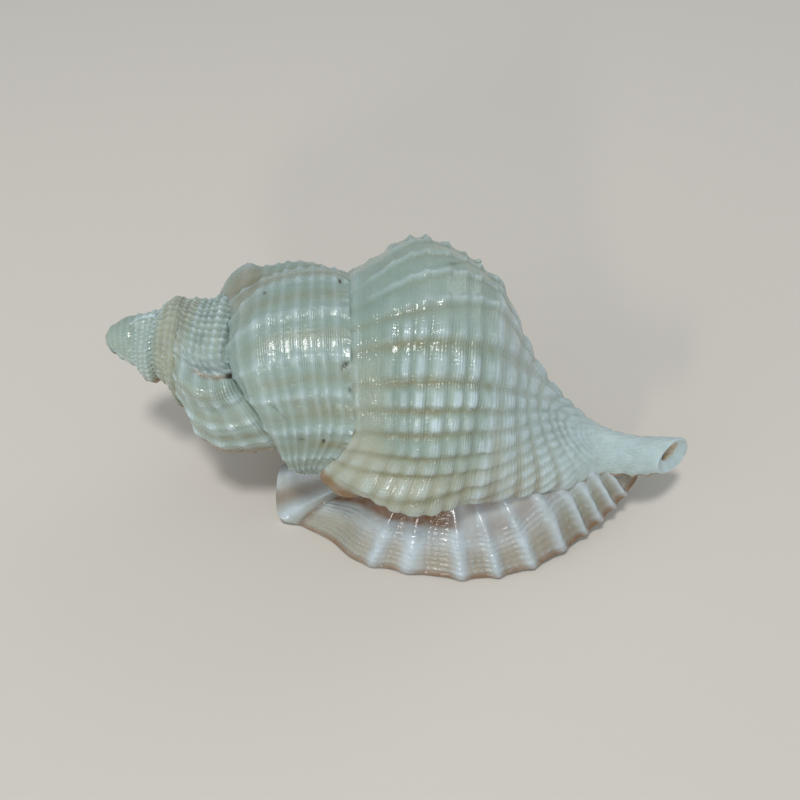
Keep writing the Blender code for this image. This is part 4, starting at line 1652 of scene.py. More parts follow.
@dataclass(frozen=True)
class FlangeRelief:
    """The sculpture of the flange's upper side: ribs with beads, knobs, the ear's ridges and trough.

    A ridge of the ear is its place in knots, how far that drifts for a whole share inward, and its half
    width.
    """

    form: FlangeForm = FlangeForm()
    rib_rise: float = 0.33
    rib_inner: Span = (0.60, 0.76)
    merged_knots: Span = (6.0, 6.9)
    merged_inner: Span = (0.76, 0.92)
    rib_ends: Span = (0.96, 1.0)
    rib_end_loss: float = 0.35
    bead_pitch: float = 0.045
    bead_rise: Span = (0.03, 0.10)
    bead_knots: Span = (6.5, 7.2)
    knob_ring: float = 0.77
    knob_half: float = 0.035
    knob_height: float = 0.38
    knob_from: Span = (5.2, 5.8)
    ridge: tuple[float, float, float] = (0.20, -1.1, 0.58)
    ridge_rise: float = 1.05
    back_ridge: Span = (-1.0, 0.30)
    back_ridge_rise: float = 0.5
    trough: Span = (-0.55, 0.22)
    trough_depth: float = 0.15
    crease: tuple[float, float, float] = (1.0, -2.0, 0.16)
    crease_depth: float = 0.30
    ear_inner: Span = (0.50, 0.70)
    dip: Span = (1.9, 0.55)
    dip_depth: float = 0.20
    dip_inner: Span = (0.75, 0.95)

    def knobs(self, knots: Array, share: Array) -> Array:
        """White knobs where the ribs near the canal run out against the body."""
        ring = hump(share, self.knob_ring, self.knob_half) * ramp(knots, *self.knob_from)
        return self.form.ribbing(knots) * ring * (knots < len(self.form.edge_points) / 2.0)

    def height(self, knots: Array, share: Array) -> Array:
        """Height of the sculpture.

        Args:
            knots: Places along the edge.
            share: 1 at the edge to 0 at the centre.

        Returns:
            The sum of ribs, beads, knobs, ridges and dips, in millimetres.
        """
        spout, inward = self.form.signed(knots), 1.0 - share
        merged = ramp(spout, *self.merged_knots)
        inner = ramp(share, *self.rib_inner) * (1.0 - merged) + ramp(share, *self.merged_inner) * merged
        ribs = self.form.ribbing(knots) * inner
        bead_rise = self.bead_rise[0] + self.bead_rise[1] * ramp(knots, *self.bead_knots)
        beads = bead_rise * np.sin(2.0 * np.pi * share / self.bead_pitch) * ribs
        ridge_at, ridge_drift, ridge_half = self.ridge
        crease_at, crease_drift, crease_half = self.crease
        ear = self.ridge_rise * hump(spout, ridge_at + ridge_drift * inward, ridge_half)
        ear = ear + self.back_ridge_rise * hump(spout, *self.back_ridge)
        ear = ear - self.trough_depth * hump(spout, *self.trough)
        ear = ear - self.crease_depth * hump(spout, crease_at + crease_drift * inward, crease_half)
        dip = self.dip_depth * hump(spout, *self.dip) * ramp(share, *self.dip_inner)
        ribbed = (self.rib_rise * ribs + beads) * (1.0 - self.rib_end_loss * ramp(share, *self.rib_ends))
        return ribbed + self.knob_height * self.knobs(knots, share) + ear * ramp(share, *self.ear_inner) - dip


@dataclass(frozen=True)
class FlangeTint:
    """The masks of the flange's upper side, with painted shadow in brown where it runs in under the lip's
    edge.
    """

    shape: FlangeRelief = FlangeRelief()
    ear_edge: Span = (0.85, -2.0)
    ear_blur: float = 0.08
    ridge_drift: float = 1.1
    inner: float = 0.55
    inner_share: Span = (0.80, 0.92)
    dip: float = 0.8
    dip_at: Span = (2.1, 0.8)
    dip_share: Span = (0.76, 0.88)
    pale: float = 0.35
    pale_at: Span = (1.9, 0.9)

    def masks(self, knots: Array, share: Array) -> dict[Mask, Array]:
        """All the masks.

        Args:
            knots: Places along the edge.
            share: 1 at the edge to 0 at the centre.

        Returns:
            Each mask.
        """
        spout, ribs = self.shape.form.signed(knots), self.shape.form.ribbing(knots)
        knobs = self.shape.knobs(knots, share)
        ear_line = spout - (self.ear_edge[0] + self.ear_edge[1] * (1.0 - share))
        on_ear = fall(ear_line, -self.ear_blur, self.ear_blur)
        inner = np.clip(ribs + self.inner * fall(share, *self.inner_share), 0.0, 1.0)
        fields = {
            On.ONE: np.ones_like(share),
            On.LIP: 1.0 - on_ear,
            On.EAR: on_ear,
            On.RIB: ribs,
            On.OFF_RIB: 1.0 - ribs,
            On.KNOB: knobs,
            On.OFF_KNOB: 1.0 - knobs,
            On.INNER: inner * (1.0 - self.dip * hump(spout, *self.dip_at) * ramp(share, *self.dip_share)),
            On.PALE: 1.0 - self.pale * hump(spout, *self.pale_at),
            On.SPOUT: spout,
            On.SHARE: share,
            On.RIDGE: spout + self.ridge_drift * (1.0 - share),
            On.EAR_LINE: ear_line,
        }
        held = {Mask.TAN, Mask.BROWN}
        found = {mask: patches.at(fields) for mask, patches in FLANGE_MASKS.items()}
        return {mask: np.clip(found[mask], 0.0, 1.0) if mask in held else found[mask] for mask in found}


@dataclass(frozen=True)
class Flange:
    """The flared shield round the mouth: ribbed under the lip, a smooth spout at the ear, thin elsewhere.

    Columns are stretches of the edge, each with its first and last knot and its number of columns. A bell
    is a strength, the share where it is highest and its half width.
    """

    form: FlangeForm = FlangeForm()
    shape: FlangeRelief = FlangeRelief()
    tint: FlangeTint = FlangeTint()
    columns: tuple[tuple[float, float, int], ...] = ((0.0, 2.9, 58), (2.9, 9.0, 330), (9.0, 18.0, 110))
    top_rings: int = 26
    top_reach: float = 0.72
    under_rings: int = 14
    under_inner: float = 0.2
    slope_steps: Span = (0.02, 0.003)
    line_rate: float = 18.0
    thread_rate: float = 9.0
    groove: float = 0.22
    groove_in: Span = (0.62, 0.8)
    groove_out: Span = (0.97, 1.0)
    wrinkle: tuple[float, float, float] = (0.10, 0.55, 0.2)
    wrinkle_rate: float = 3.0
    wrinkle_slant: float = 5.0
    under_white: tuple[float, float, float] = (0.5, 0.95, 0.2)
    under_tan: tuple[float, float, float] = (0.5, 0.6, 0.3)
    edge_bulge: float = 0.10

    def raised(self, knots: Array, shares: Array) -> Array:
        """Points of the sculptured upper side.

        The normal is the cross product of the surface's two slopes, taken over short steps either side.

        Args:
            knots: Places along the edge.
            shares: 1 at the edge to 0 at the centre.

        Returns:
            The points moved out by the height of the relief and pushed into scallops.
        """
        step, reach = self.slope_steps
        side = self.form.top(knots + step, shares) - self.form.top(knots - step, shares)
        inward = self.form.top(knots, shares - reach) - self.form.top(knots, np.minimum(shares + reach, 1.0))
        normal = np.cross(side, inward)
        normal = normal / np.linalg.norm(normal, axis=-1, keepdims=True)
        normal = normal * np.sign(normal[..., 2:3])
        top = self.form.top(knots, shares) + normal * self.shape.height(knots, shares)[..., None]
        return self.form.scalloped(top, knots, shares)

    def lowered(self, knots: Array, shares: Array) -> Array:
        """Points of the underside, with a groove under each rib and wrinkles on the flat callus.

        Args:
            knots: Places along the edge.
            shares: 1 at the edge to 0 at the centre.

        Returns:
            The points.
        """
        under = self.form.under(knots, shares)
        grooves = self.groove * self.form.ribbing(knots) * ramp(shares, *self.groove_in)
        grooves = grooves * fall(shares, *self.groove_out)
        strength, *ring = self.wrinkle
        waves = np.sin(2.0 * np.pi * knots * self.wrinkle_rate + self.wrinkle_slant * shares)
        wrinkles = strength * waves * hump(shares, *ring) * (1.0 - self.form.skirt(self.form.edge(knots)))
        under[..., 2] += grooves + wrinkles
        return self.form.scalloped(under, knots, shares)

    def build(self) -> bpy.types.Object:
        """Build the flange as one closed plate with a rounded edge.

        Returns:
            The object.
        """
        skin = Skin()
        edge = np.concatenate([np.linspace(*ends, count, endpoint=False) for *ends, count in self.columns])
        shares = 1.0 - (1.0 - np.linspace(0.0, 1.0, self.top_rings + 1)[1:]) * self.top_reach
        knots, shares = np.broadcast_arrays(edge[None, :], shares[:, None])
        top = self.raised(knots, shares)
        masks = self.tint.masks(knots, shares)
        upper = skin.add_points(top, Relief(shares, masks, self.line_rate * knots, self.thread_rate * shares))

        under_shares = np.linspace(1.0, self.under_inner, self.under_rings)
        knots, under_shares = np.broadcast_arrays(edge[None, :], under_shares[:, None])
        under = self.lowered(knots, under_shares)
        white, *white_ring = self.under_white
        tan, *tan_ring = self.under_tan
        glaze = {
            Mask.WHITE: white * hump(under_shares, *white_ring),
            Mask.TAN: tan * hump(under_shares, *tan_ring),
            Mask.GLOSS: np.ones_like(under_shares),
        }
        lower = skin.add_points(under, Relief(under_shares, glaze, self.line_rate * knots, under_shares))

        edge_middle = 0.5 * (top[-1] + under[0]) + self.edge_bulge * self.form.outward(edge)
        edge_masks = {mask: values[-1] for mask, values in masks.items()}
        edge_counts = self.line_rate * edge, np.full_like(edge, self.thread_rate)
        rim = skin.add_points(edge_middle, Relief(edge, edge_masks, *edge_counts))
        rings = np.concatenate((upper, rim[None, :], lower))
        skin.add_quads(np.concatenate((rings, rings[:, :1]), axis=1))
        peak = skin.add_points(np.array([[*self.form.centre, self.form.core_top + self.form.thick]]))
        floor = skin.add_points(np.array([[*self.form.centre, float(under[-1, :, 2].mean())]]))
        skin.add_fan(upper[0], int(peak[0]))
        skin.add_fan(lower[-1], int(floor[0]))
        return skin.build("flange", Finish.FLANGE)


@dataclass(frozen=True)
class Mouth:
    """Cutter for the mouth: a toothed oval that is carried up and round inside the last whorl.

    Each section is a height, a depth toward the lip, a tilt in degrees, a half length and a half width.
    """

    centre_x: float = 5.4
    sections: tuple[tuple[float, float, float, float, float], ...] = (
        (-3.0, -4.7, 0.0, 8.9, 3.1), (1.0, -4.7, 0.0, 8.5, 2.9), (3.6, -4.7, 5.0, 8.1, 2.7),
        (6.4, -4.6, 12.0, 7.6, 2.6), (9.9, -4.9, 20.0, 7.0, 3.1), (14.4, -5.2, -20.0, 6.8, 4.2),
        (17.8, -2.3, -60.0, 6.0, 3.8), (18.8, 0.8, -90.0, 4.6, 3.0), (18.4, 3.2, -110.0, 2.6, 1.8),
    )
    sides: int = 168
    levels: int = 40
    toothed_below: Span = (3.2, 6.5)
    lip_side: Span = (0.1, 0.6)
    inner_side: Span = (0.2, 0.7)
    lip_teeth: float = 18.0
    inner_teeth: float = 13.0
    tooth: float = 0.9
    inner_tooth: float = 0.45
    fold: float = 1.3
    fold_at: Span = (0.25, 0.16)

    def dents(self, turn: Array, z: Array) -> Array:
        """Depth of the teeth and of the inner side's fold, near the opening.

        Args:
            turn: Angles round the oval.
            z: Heights of the sections.

        Returns:
            The sum of squared waves on both sides and of a bell on the inner side.
        """
        near = fall(z, *self.toothed_below)
        lip_side, inner_side = ramp(-np.sin(turn), *self.lip_side), ramp(np.sin(turn), *self.inner_side)
        teeth = self.tooth * near * lip_side * (0.5 + 0.5 * np.cos(self.lip_teeth * turn)) ** 2
        folds = self.fold * near * inner_side * hump(np.cos(turn), *self.fold_at)
        inner = self.inner_tooth * near * inner_side * (0.5 + 0.5 * np.cos(self.inner_teeth * turn)) ** 2
        return teeth + folds + inner

    def build(self) -> bpy.types.Object:
        """Build the cutter by blending the sections and denting their outline with teeth near the opening.

        Returns:
            The cutter.
        """
        turn = np.linspace(0.0, 2.0 * np.pi, self.sides, endpoint=False)[None, :]
        places = np.linspace(0.0, len(self.sections) - 1.0, self.levels)
        table = np.array(self.sections)
        z, y, tilt, half_length, half_width = (
            np.interp(places, np.arange(len(table)), column)[:, None] for column in table.T
        )
        offset = (half_width - self.dents(turn, z)) * np.sin(turn)
        side = np.radians(tilt)
        x = self.centre_x + half_length * np.cos(turn)
        points = (x, y + offset * np.cos(side), z + offset * np.sin(side))
        return closed_tube("mouth_cutter", np.stack(np.broadcast_arrays(*points), axis=-1))


@dataclass(frozen=True)
class CanalBore:
    """Cutter for the canal: a tube along the neck that flares at its tip, and a slit below it."""

    line: CoilLine = CoilLine()
    span: Span = (38.0, 62.0)
    radii: Span = (0.9, 0.5)
    tapers: Span = (40.0, 56.0)
    slit_depth: float = 9.0
    slit_least: float = 0.95
    slit_half: float = 0.5
    slit_ends: Span = (51.5, 55.0)
    start: tuple[float, float, float] = (0.0, -5.0, -4.5)
    centres: Span = (40.0, 54.0)
    flare: float = 0.4
    flare_rise: tuple[float, float, float] = (0.0, 0.25, 0.3)
    flares: Span = (54.5, 57.0)
    arc: Span = (math.radians(-60.0), math.radians(240.0))
    stations: int = 48
    sides: int = 26

    def build(self) -> bpy.types.Object:
        """Build the cutter as keyhole sections along the neck.

        Returns:
            The cutter.
        """
        along = np.linspace(*self.span, self.stations)[:, None]
        flare = ramp(along, *self.flares)
        top, tip = self.radii
        radius = top + (tip - top) * ramp(along, *self.tapers) + self.flare * flare
        depth = self.slit_least * radius + self.slit_depth * fall(along, *self.slit_ends)
        middle = self.line.place(along, np.zeros_like(along), np.zeros_like(along))
        middle = middle + np.array(self.start) * fall(along, *self.centres)[..., None]
        middle = middle + np.array(self.flare_rise) * flare[..., None]
        turn = np.linspace(*self.arc, self.sides)[None, :]
        half = self.slit_half * radius
        y = np.concatenate((radius * np.cos(turn), -half, half), axis=1)
        z = np.concatenate((radius * np.sin(turn), -depth, -depth), axis=1)
        return closed_tube("canal_cutter", middle + np.stack((np.zeros_like(y), y, z), axis=-1))


def closed_tube(name: str, points: Array) -> bpy.types.Object:
    """Make a closed skin over a stack of rings, with flat ends.

    Args:
        name: The object's name.
        points: Points by ring and place round the ring.

    Returns:
        The object, with the glazed finish.
    """
    skin = Skin()
    numbers = skin.add_points(points, Relief.even(points.shape[:-1], {Mask.GLOSS: 1.0, Mask.TAN: GLAZE_TAN}))
    skin.add_ring_quads(numbers)
    skin.faces.extend((numbers[:1], numbers[-1:]))
    return skin.build(name, Finish.GLAZE)


@dataclass(frozen=True)
class Shell:
    """The whole shell: the whorls joined to the flange, with the mouth and the canal cut out."""

    name: str = "sculptured_shell"
    whorls: Whorls = field(default_factory=Whorls)
    flange: Flange = field(default_factory=Flange)
    mouth: Mouth = field(default_factory=Mouth)
    bore: CanalBore = field(default_factory=CanalBore)
    crease_angle: float = math.radians(48.0)

    def build(self) -> bpy.types.Object:
        """Build the finished piece.

        Returns:
            The piece, at the origin, with its place in its mesh.
        """
        body = self.whorls.build()
        steps = (
            (Join.UNION, self.flange.build()),
            (Join.DIFFERENCE, self.mouth.build()),
            (Join.DIFFERENCE, self.bore.build()),
        )
        for joint, tool in steps:
            modifier = body.modifiers.new(joint.value.title(), "BOOLEAN")
            modifier.operation = joint.value
            modifier.object = tool
            modifier.solver = "MANIFOLD"
        graph = bpy.context.evaluated_depsgraph_get()
        mesh = bpy.data.meshes.new_from_object(body.evaluated_get(graph), depsgraph=graph)
        for thing in (body, *(tool for _, tool in steps)):
            bpy.data.objects.remove(thing, do_unlink=True)
        mesh.name = self.name
        mesh.set_sharp_from_angle(angle=self.crease_angle)
        piece = bpy.data.objects.new(self.name, mesh)
        bpy.context.scene.collection.objects.link(piece)
        return piece


def linear(red: int, green: int, blue: int) -> Colour:
    """Colour for the shader from the usual 0 to 255 values.

    Args:
        red: Amount of red.
        green: Amount of green.
        blue: Amount of blue.

    Returns:
        Each value by the usual curve: a straight foot, and a power above it.
    """
    values = np.array((red, green, blue)) / FULL_BYTE
    foot, power = values / SRGB_SLOPE, ((values + SRGB_LIFT) / (1.0 + SRGB_LIFT)) ** SRGB_POWER
    return tuple(float(value) for value in np.where(values <= SRGB_FOOT, foot, power))


class Nodes:
    """Short ways to add and join shader nodes in one tree."""

    def __init__(self, tree: bpy.types.NodeTree) -> None:
        """Start on a tree."""
        self.tree = tree

    def add(self, kind: str, inputs: dict | None = None, **settings: object) -> bpy.types.Node:
        """Add a node.

        Args:
            kind: The node's type.
            inputs: Values for, or sockets to join to, its inputs by name or number.
            settings: Properties of the node.

        Returns:
            The node.
        """
        node = self.tree.nodes.new(kind)
        for name, value in settings.items():
            setattr(node, name, value)
        self.fill(node, inputs or {})
        return node

    def fill(self, node: bpy.types.Node, inputs: dict[str | int, object]) -> None:
        """Set a node's inputs.

        Args:
            node: The node.
            inputs: Values for, or sockets to join to, its inputs by name or number.
        """
        for name, value in inputs.items():
            socket = node.inputs[name]
            if isinstance(value, bpy.types.NodeSocket):
                self.tree.links.new(value, socket)
            elif isinstance(value, tuple) and socket.type == "RGBA":
                socket.default_value = (*value, 1.0)
            else:
                socket.default_value = value

    def add_group(self, tree: bpy.types.NodeTree, inputs: dict[str, object]) -> dict[str, Socket]:
        """Add a group node.

        Args:
            tree: The group.
            inputs: Values for, or sockets to join to, its inputs by name.

        Returns:
            Its outputs.
        """
        node = self.tree.nodes.new("ShaderNodeGroup")
        node.node_tree = tree
        self.fill(node, inputs)
        return node.outputs

    def noise(self, scale: object, detail: float, output: str = "Fac") -> Socket:
        """Cloudy noise on the object's own coordinates.

        Args:
            scale: Clouds to the metre.
            detail: Levels of finer clouds.
            output: Fac for one value, or Color for three.

        Returns:
            The output.
        """
        place = self.add("ShaderNodeTexCoord").outputs["Object"]
        inputs = {"Vector": place, "Scale": scale, "Detail": detail}
        return self.add("ShaderNodeTexNoise", inputs).outputs[output]

    def split_colour(self, colour: Socket) -> tuple[Socket, ...]:
        """The three channels of a colour."""
        return tuple(self.add("ShaderNodeSeparateColor", {0: colour}).outputs)

    def counts(self) -> tuple[Socket, Socket]:
        """The counts of ribs and of cords, from the UV map.

        Returns:
            The socket of each count.
        """
        counts = self.add("ShaderNodeUVMap", uv_map=COUNTS).outputs["UV"]
        split = self.add("ShaderNodeSeparateXYZ", {0: counts})
        return split.outputs["X"], split.outputs["Y"]

    def math(self, operation: Operation, first: object, second: object = 0.0, clamp: bool = False) -> Socket:
        """Work out one value from two."""
        node = self.add("ShaderNodeMath", {0: first, 1: second}, operation=operation.name, use_clamp=clamp)
        return node.outputs[0]

    def times(self, *values: object, clamp: bool = False) -> Socket:
        """Product of the values, from the first on.

        Args:
            values: Values or sockets.
            clamp: Whether to hold the product between 0 and 1.

        Returns:
            The product.
        """
        product, *others = values
        for value in others:
            product = self.math(Operation.MULTIPLY, product, value, clamp)
        return product

    def plus(self, first: object, second: object, clamp: bool = False) -> Socket:
        """Sum of two values, held between 0 and 1 if clamp is set."""
        return self.math(Operation.ADD, first, second, clamp)

    def mix(self, share: object, first: object, second: object) -> Socket:
        """Colour between first and second, by share."""
        inputs = {0: share} | dict(zip(MIX_COLOURS, (first, second)))
        return self.add("ShaderNodeMix", inputs, data_type="RGBA").outputs[MIX_RESULT]

    def span(self, value: object, low: float, high: float, start: float = 0.0, end: float = 1.0) -> Socket:
        """Value brought from low..high to start..end, held at the ends."""
        return self.add("ShaderNodeMapRange", {0: value, 1: low, 2: high, 3: start, 4: end}).outputs[0]

    def join(self, results: dict[str, Socket], ends: dict[str, Socket]) -> None:
        """Join each result to the end of the same name."""
        for label, result in results.items():
            self.tree.links.new(result, ends[label])


def new_group(name: str, inputs: dict[str, Colour | float],
              outputs: dict[str, str]) -> tuple[Nodes, dict, dict]:
    """Start a shader node group.

    Args:
        name: The group's name.
        inputs: First value of each input, which is a colour or a number.
        outputs: For each output, its socket type.

    Returns:
        The group's nodes, the inputs' sockets inside it, and the output node's sockets.
    """
    tree = bpy.data.node_groups.new(name, "ShaderNodeTree")
    for label, value in inputs.items():
        kind, start = (COLOUR, (*value, 1.0)) if isinstance(value, tuple) else (NUMBER, value)
        tree.interface.new_socket(label, in_out="INPUT", socket_type=kind).default_value = start
    for label, kind in outputs.items():
        tree.interface.new_socket(label, in_out="OUTPUT", socket_type=kind)
    nodes = Nodes(tree)
    entry, leave = nodes.add("NodeGroupInput"), nodes.add("NodeGroupOutput")
    return nodes, entry.outputs, leave.inputs


@dataclass(frozen=True)
class MottleGroup:
    """Group that breaks up a colour with cloudy patches and fine grain."""

    colour: Colour = (0.5, 0.5, 0.5)
    patch_size: float = 300.0
    patch_depth: float = 0.12
    patch_detail: float = 3.0
    grain_depth: float = 0.06
    grain_size: float = 2600.0
    grain_detail: float = 2.0

    def build(self) -> bpy.types.NodeTree:
        """Build the group: the colour is scaled by 1 plus each noise's distance from a half, times its depth.

        Returns:
            The group.
        """
        nodes, given, result = new_group(
            "mottle",
            {"Colour": self.colour, "Patch Size": self.patch_size, "Patch Depth": self.patch_depth,
             "Grain Depth": self.grain_depth},
            {"Colour": COLOUR, "Patches": NUMBER},
        )
        patches = nodes.noise(given["Patch Size"], self.patch_detail)
        grain = nodes.noise(self.grain_size, self.grain_detail)
        patch_shift = nodes.times(nodes.math(Operation.SUBTRACT, patches, 0.5), given["Patch Depth"])
        grain_shift = nodes.times(nodes.math(Operation.SUBTRACT, grain, 0.5), given["Grain Depth"])
        level = nodes.plus(nodes.plus(patch_shift, grain_shift), 1.0)
        scaled = nodes.add("ShaderNodeVectorMath", {0: given["Colour"], "Scale": level}, operation="SCALE")
        nodes.join({"Colour": scaled.outputs[0], "Patches": patches}, result)
        return nodes.tree


@dataclass(frozen=True)
class ThreadGroup:
    """Group for the fine threads that run along the cords and the growth lines that run along the ribs, and
    the painted glints where they cross.
    """

    threads: float = 6.0
    lines: float = 9.0
    wobble_size: float = 500.0
    wobble_detail: float = 1.0
    uneven_size: float = 750.0
    uneven_detail: float = 2.0
    thread_wobble: float = 2.5
    line_wobble: float = 7.0
    uneven_span: Four = (0.36, 0.6, 0.15, 1.0)
    thread_height: float = 0.8
    line_height: float = 0.25
    bead_height: float = 0.5

    def wave(self, nodes: Nodes, count: Socket, rate: Socket, shift: Socket, strength: Socket) -> Socket:
        """Sine wave along a count, brought to 0..1.

        Args:
            nodes: The group's nodes.
            count: The count that it runs along.
            rate: Waves in each count.
            shift: What is added to its angle.
            strength: What it is multiplied by, spread over the uneven span.

        Returns:
            The wave.
        """
        turns = nodes.times(nodes.times(count, rate), 2.0 * math.pi)
        wave = nodes.math(Operation.SINE, nodes.plus(turns, shift))
        return nodes.times(nodes.plus(nodes.times(wave, 0.5), 0.5), nodes.span(strength, *self.uneven_span))

    def build(self) -> bpy.types.NodeTree:
        """Build the group: threads, lines and the beads where they cross, each a wave or a product of two.

        Returns:
            The group.
        """
        nodes, given, result = new_group(
            "threads", {"Threads": self.threads, "Lines": self.lines, "Strength": 1.0},
            {"Height": NUMBER, "Glints": NUMBER},
        )
        ribs, cords = nodes.counts()
        wobble = nodes.noise(self.wobble_size, self.wobble_detail)
        uneven = nodes.split_colour(nodes.noise(self.uneven_size, self.uneven_detail, "Color"))
        thread_shift = nodes.times(wobble, self.thread_wobble)
        line_shift = nodes.times(wobble, self.line_wobble)
        threads = self.wave(nodes, cords, given["Threads"], thread_shift, uneven[0])
        lines = self.wave(nodes, ribs, given["Lines"], line_shift, uneven[1])
        beads = nodes.times(threads, lines)
        height = nodes.plus(nodes.times(threads, self.thread_height), nodes.times(lines, self.line_height))
        height = nodes.plus(height, nodes.times(beads, self.bead_height))
        strength = given["Strength"]
        nodes.join({"Height": nodes.times(height, strength), "Glints": nodes.times(beads, strength)}, result)
        return nodes.tree


@dataclass(frozen=True)
class TileGroup:
    """Group for the clean-edged tiles between the cords and the ribs, and the groove line below each rib,
    which is partly the shell's olive-brown and partly painted shade.

    Each pair of spans is where a side of the tile or the groove comes in and goes out.
    """

    wander: float = 0.3
    stray_size: float = 1100.0
    stray_detail: float = 2.0
    rib_sides: tuple[Span, Span] = ((0.18, 0.36), (0.76, 0.92))
    cord_sides: tuple[Span, Span] = ((0.10, 0.28), (0.72, 0.90))
    groove_shift: float = 0.46
    groove_sides: tuple[Span, Span] = ((0.22, 0.46), (0.56, 0.80))

    def build(self) -> bpy.types.NodeTree:
        """Build the group from what is left of each count past a half, which strays a little.

        Returns:
            The group.
        """
        nodes, given, result = new_group("tiles", {"Wander": self.wander}, {"Tile": NUMBER, "Groove": NUMBER})
        stray = nodes.split_colour(nodes.noise(self.stray_size, self.stray_detail, "Color"))
        parts = []
        for count, channel in zip(nodes.counts(), stray):
            shift = nodes.times(nodes.math(Operation.SUBTRACT, channel, 0.5), given["Wander"])
            parts.append(nodes.plus(nodes.plus(count, shift), 0.5))
        rib, cord = (nodes.math(Operation.FRACT, part) for part in parts)
        below = nodes.math(Operation.FRACT, nodes.plus(parts[0], self.groove_shift))
        sides = []
        edges = ((rib, self.rib_sides), (cord, self.cord_sides), (below, self.groove_sides))
        for value, (enters, leaves) in edges:
            sides.append((nodes.span(value, *enters), nodes.span(value, *leaves, 1.0, 0.0)))
        nodes.join({"Tile": nodes.times(*sides[0], *sides[1]), "Groove": nodes.times(*sides[2])}, result)
        return nodes.tree


@dataclass(frozen=True)
class Groups:
    """The node groups that the finishes share."""

    mottle: bpy.types.NodeTree
    threads: bpy.types.NodeTree
    tiles: bpy.types.NodeTree


@dataclass(frozen=True)
class ShellFinish:
    """A finish of the shell: its ground colours, the colours that its masks bring in, and its gloss.

    A share is the span of a noise and what it stands for at the span's two ends.
    """

    finish: Finish
    ground: Colour
    ground_patch: Colour
    white: Colour
    tan: Colour
    brown: Colour
    dark: Colour
    green: Colour
    yellow: Colour
    threads: float
    lines: float
    painted_glint_share: float
    thread_depth: float
    roughness: Span
    coat: float
    coat_roughness: float = 0.08
    tile_share: float = 0.0
    tile_gain: float = 0.1
    streaks: Four = (0.2, 1.0, -0.3, 0.15)
    cloud_size: float = 160.0
    cloud_detail: float = 3.0
    cloud_span: Span = (0.38, 0.62)
    fleck_size: float = 900.0
    fleck_detail: float = 2.0
    green_share: Four = (0.35, 0.6, 0.35, 1.0)
    yellow_share: float = 0.7
    tan_share: Four = (0.3, 0.6, 0.55, 1.0)
    white_share: Four = (0.3, 0.65, 0.65, 1.1)
    brown_share: Four = (0.25, 0.6, 0.7, 1.0)
    patch_size: float = 420.0
    patch_depth: float = 0.22
    grain_depth: float = 0.12
    fleck_gloss: Four = (0.3, 0.7, -0.05, 0.07)
    tan_gloss: float = 0.10
    pore_size: float = 3200.0
    pore_detail: float = 3.0
    pore_depth: float = 0.04
    subsurface: float = 0.12
    subsurface_radius: tuple[float, float, float] = (1.0, 0.75, 0.5)
    subsurface_scale: float = 0.0009

    def dress(self, groups: Groups) -> bpy.types.Material:
        """Fill the finish's material.

        Args:
            groups: The node groups that the finishes share.

        Returns:
            The material.
        """
        material = bpy.data.materials[self.finish.name]
        material.use_nodes = True
        material.node_tree.nodes.clear()
        nodes = Nodes(material.node_tree)
        masks = self.read_masks(nodes)
        flecks = nodes.noise(self.fleck_size, self.fleck_detail)
        inputs = {"Threads": self.threads, "Lines": self.lines, "Strength": masks[Mask.THREAD]}
        threads = nodes.add_group(groups.threads, inputs)
        if self.tile_share:
            masks = self.tiled(nodes, masks, threads["Height"], groups.tiles)
        colour = self.colour(nodes, masks, flecks, threads["Glints"])
        mottle = {"Colour": colour, "Patch Size": self.patch_size, "Patch Depth": self.patch_depth}
        broken = nodes.add_group(groups.mottle, mottle | {"Grain Depth": self.grain_depth})

        rough = nodes.span(masks[Mask.GLOSS], 0.0, 1.0, self.roughness[1], self.roughness[0])
        rough = nodes.plus(rough, nodes.span(flecks, *self.fleck_gloss))
        rough = nodes.plus(rough, nodes.times(masks[Mask.TAN], self.tan_gloss), clamp=True)
        surface = nodes.add("ShaderNodeBsdfPrincipled", {
            "Base Color": broken["Colour"],
            "Roughness": rough,
            "Normal": self.bumps(nodes, threads["Height"]),
            "Coat Weight": self.coat,
            "Coat Roughness": self.coat_roughness,
            "Subsurface Weight": self.subsurface,
            "Subsurface Radius": self.subsurface_radius,
            "Subsurface Scale": self.subsurface_scale,
        })
        surface.subsurface_method = "RANDOM_WALK"
        output = nodes.add("ShaderNodeOutputMaterial", {"Surface": surface.outputs[0]})
        output.is_active_output = True
        return material

    @staticmethod
    def read_masks(nodes: Nodes) -> dict[Mask, Socket]:
        """Sockets of the masks, from the channels of the two attributes.

        Args:
            nodes: The material's nodes.

        Returns:
            The socket of each mask.
        """
        channels = {}
        for name in ATTRIBUTES:
            layer = nodes.add("ShaderNodeVertexColor", layer_name=name)
            channels[name] = (*nodes.split_colour(layer.outputs["Color"]), layer.outputs["Alpha"])
        return {mask: channels[mask.value[0]][mask.value[1]] for mask in Mask}

    def tiled(self, nodes: Nodes, masks: dict[Mask, Socket], height: Socket,
              tiles: bpy.types.NodeTree) -> dict[Mask, Socket]:
        """Make white and tan weaker off the tiles and the grooves, and streak the white by the threads.

        Args:
            nodes: The material's nodes.
            masks: The socket of each mask.
            height: The height of the threads.
            tiles: The group for tiles and grooves.

        Returns:
            The masks, with white and tan changed.
        """
        thread = masks[Mask.THREAD]
        net = nodes.add_group(tiles, {})
        reach = (0.0, 1.0, -self.tile_share, self.tile_gain)
        tiled = nodes.times(nodes.span(net["Tile"], *reach), thread)
        grooved = nodes.times(nodes.span(net["Groove"], *reach), thread)
        streaked = nodes.times(nodes.span(height, *self.streaks), thread)
        white = nodes.times(masks[Mask.WHITE], nodes.plus(tiled, 1.0), nodes.plus(streaked, 1.0))
        return masks | {Mask.WHITE: white, Mask.TAN: nodes.times(masks[Mask.TAN], nodes.plus(grooved, 1.0))}

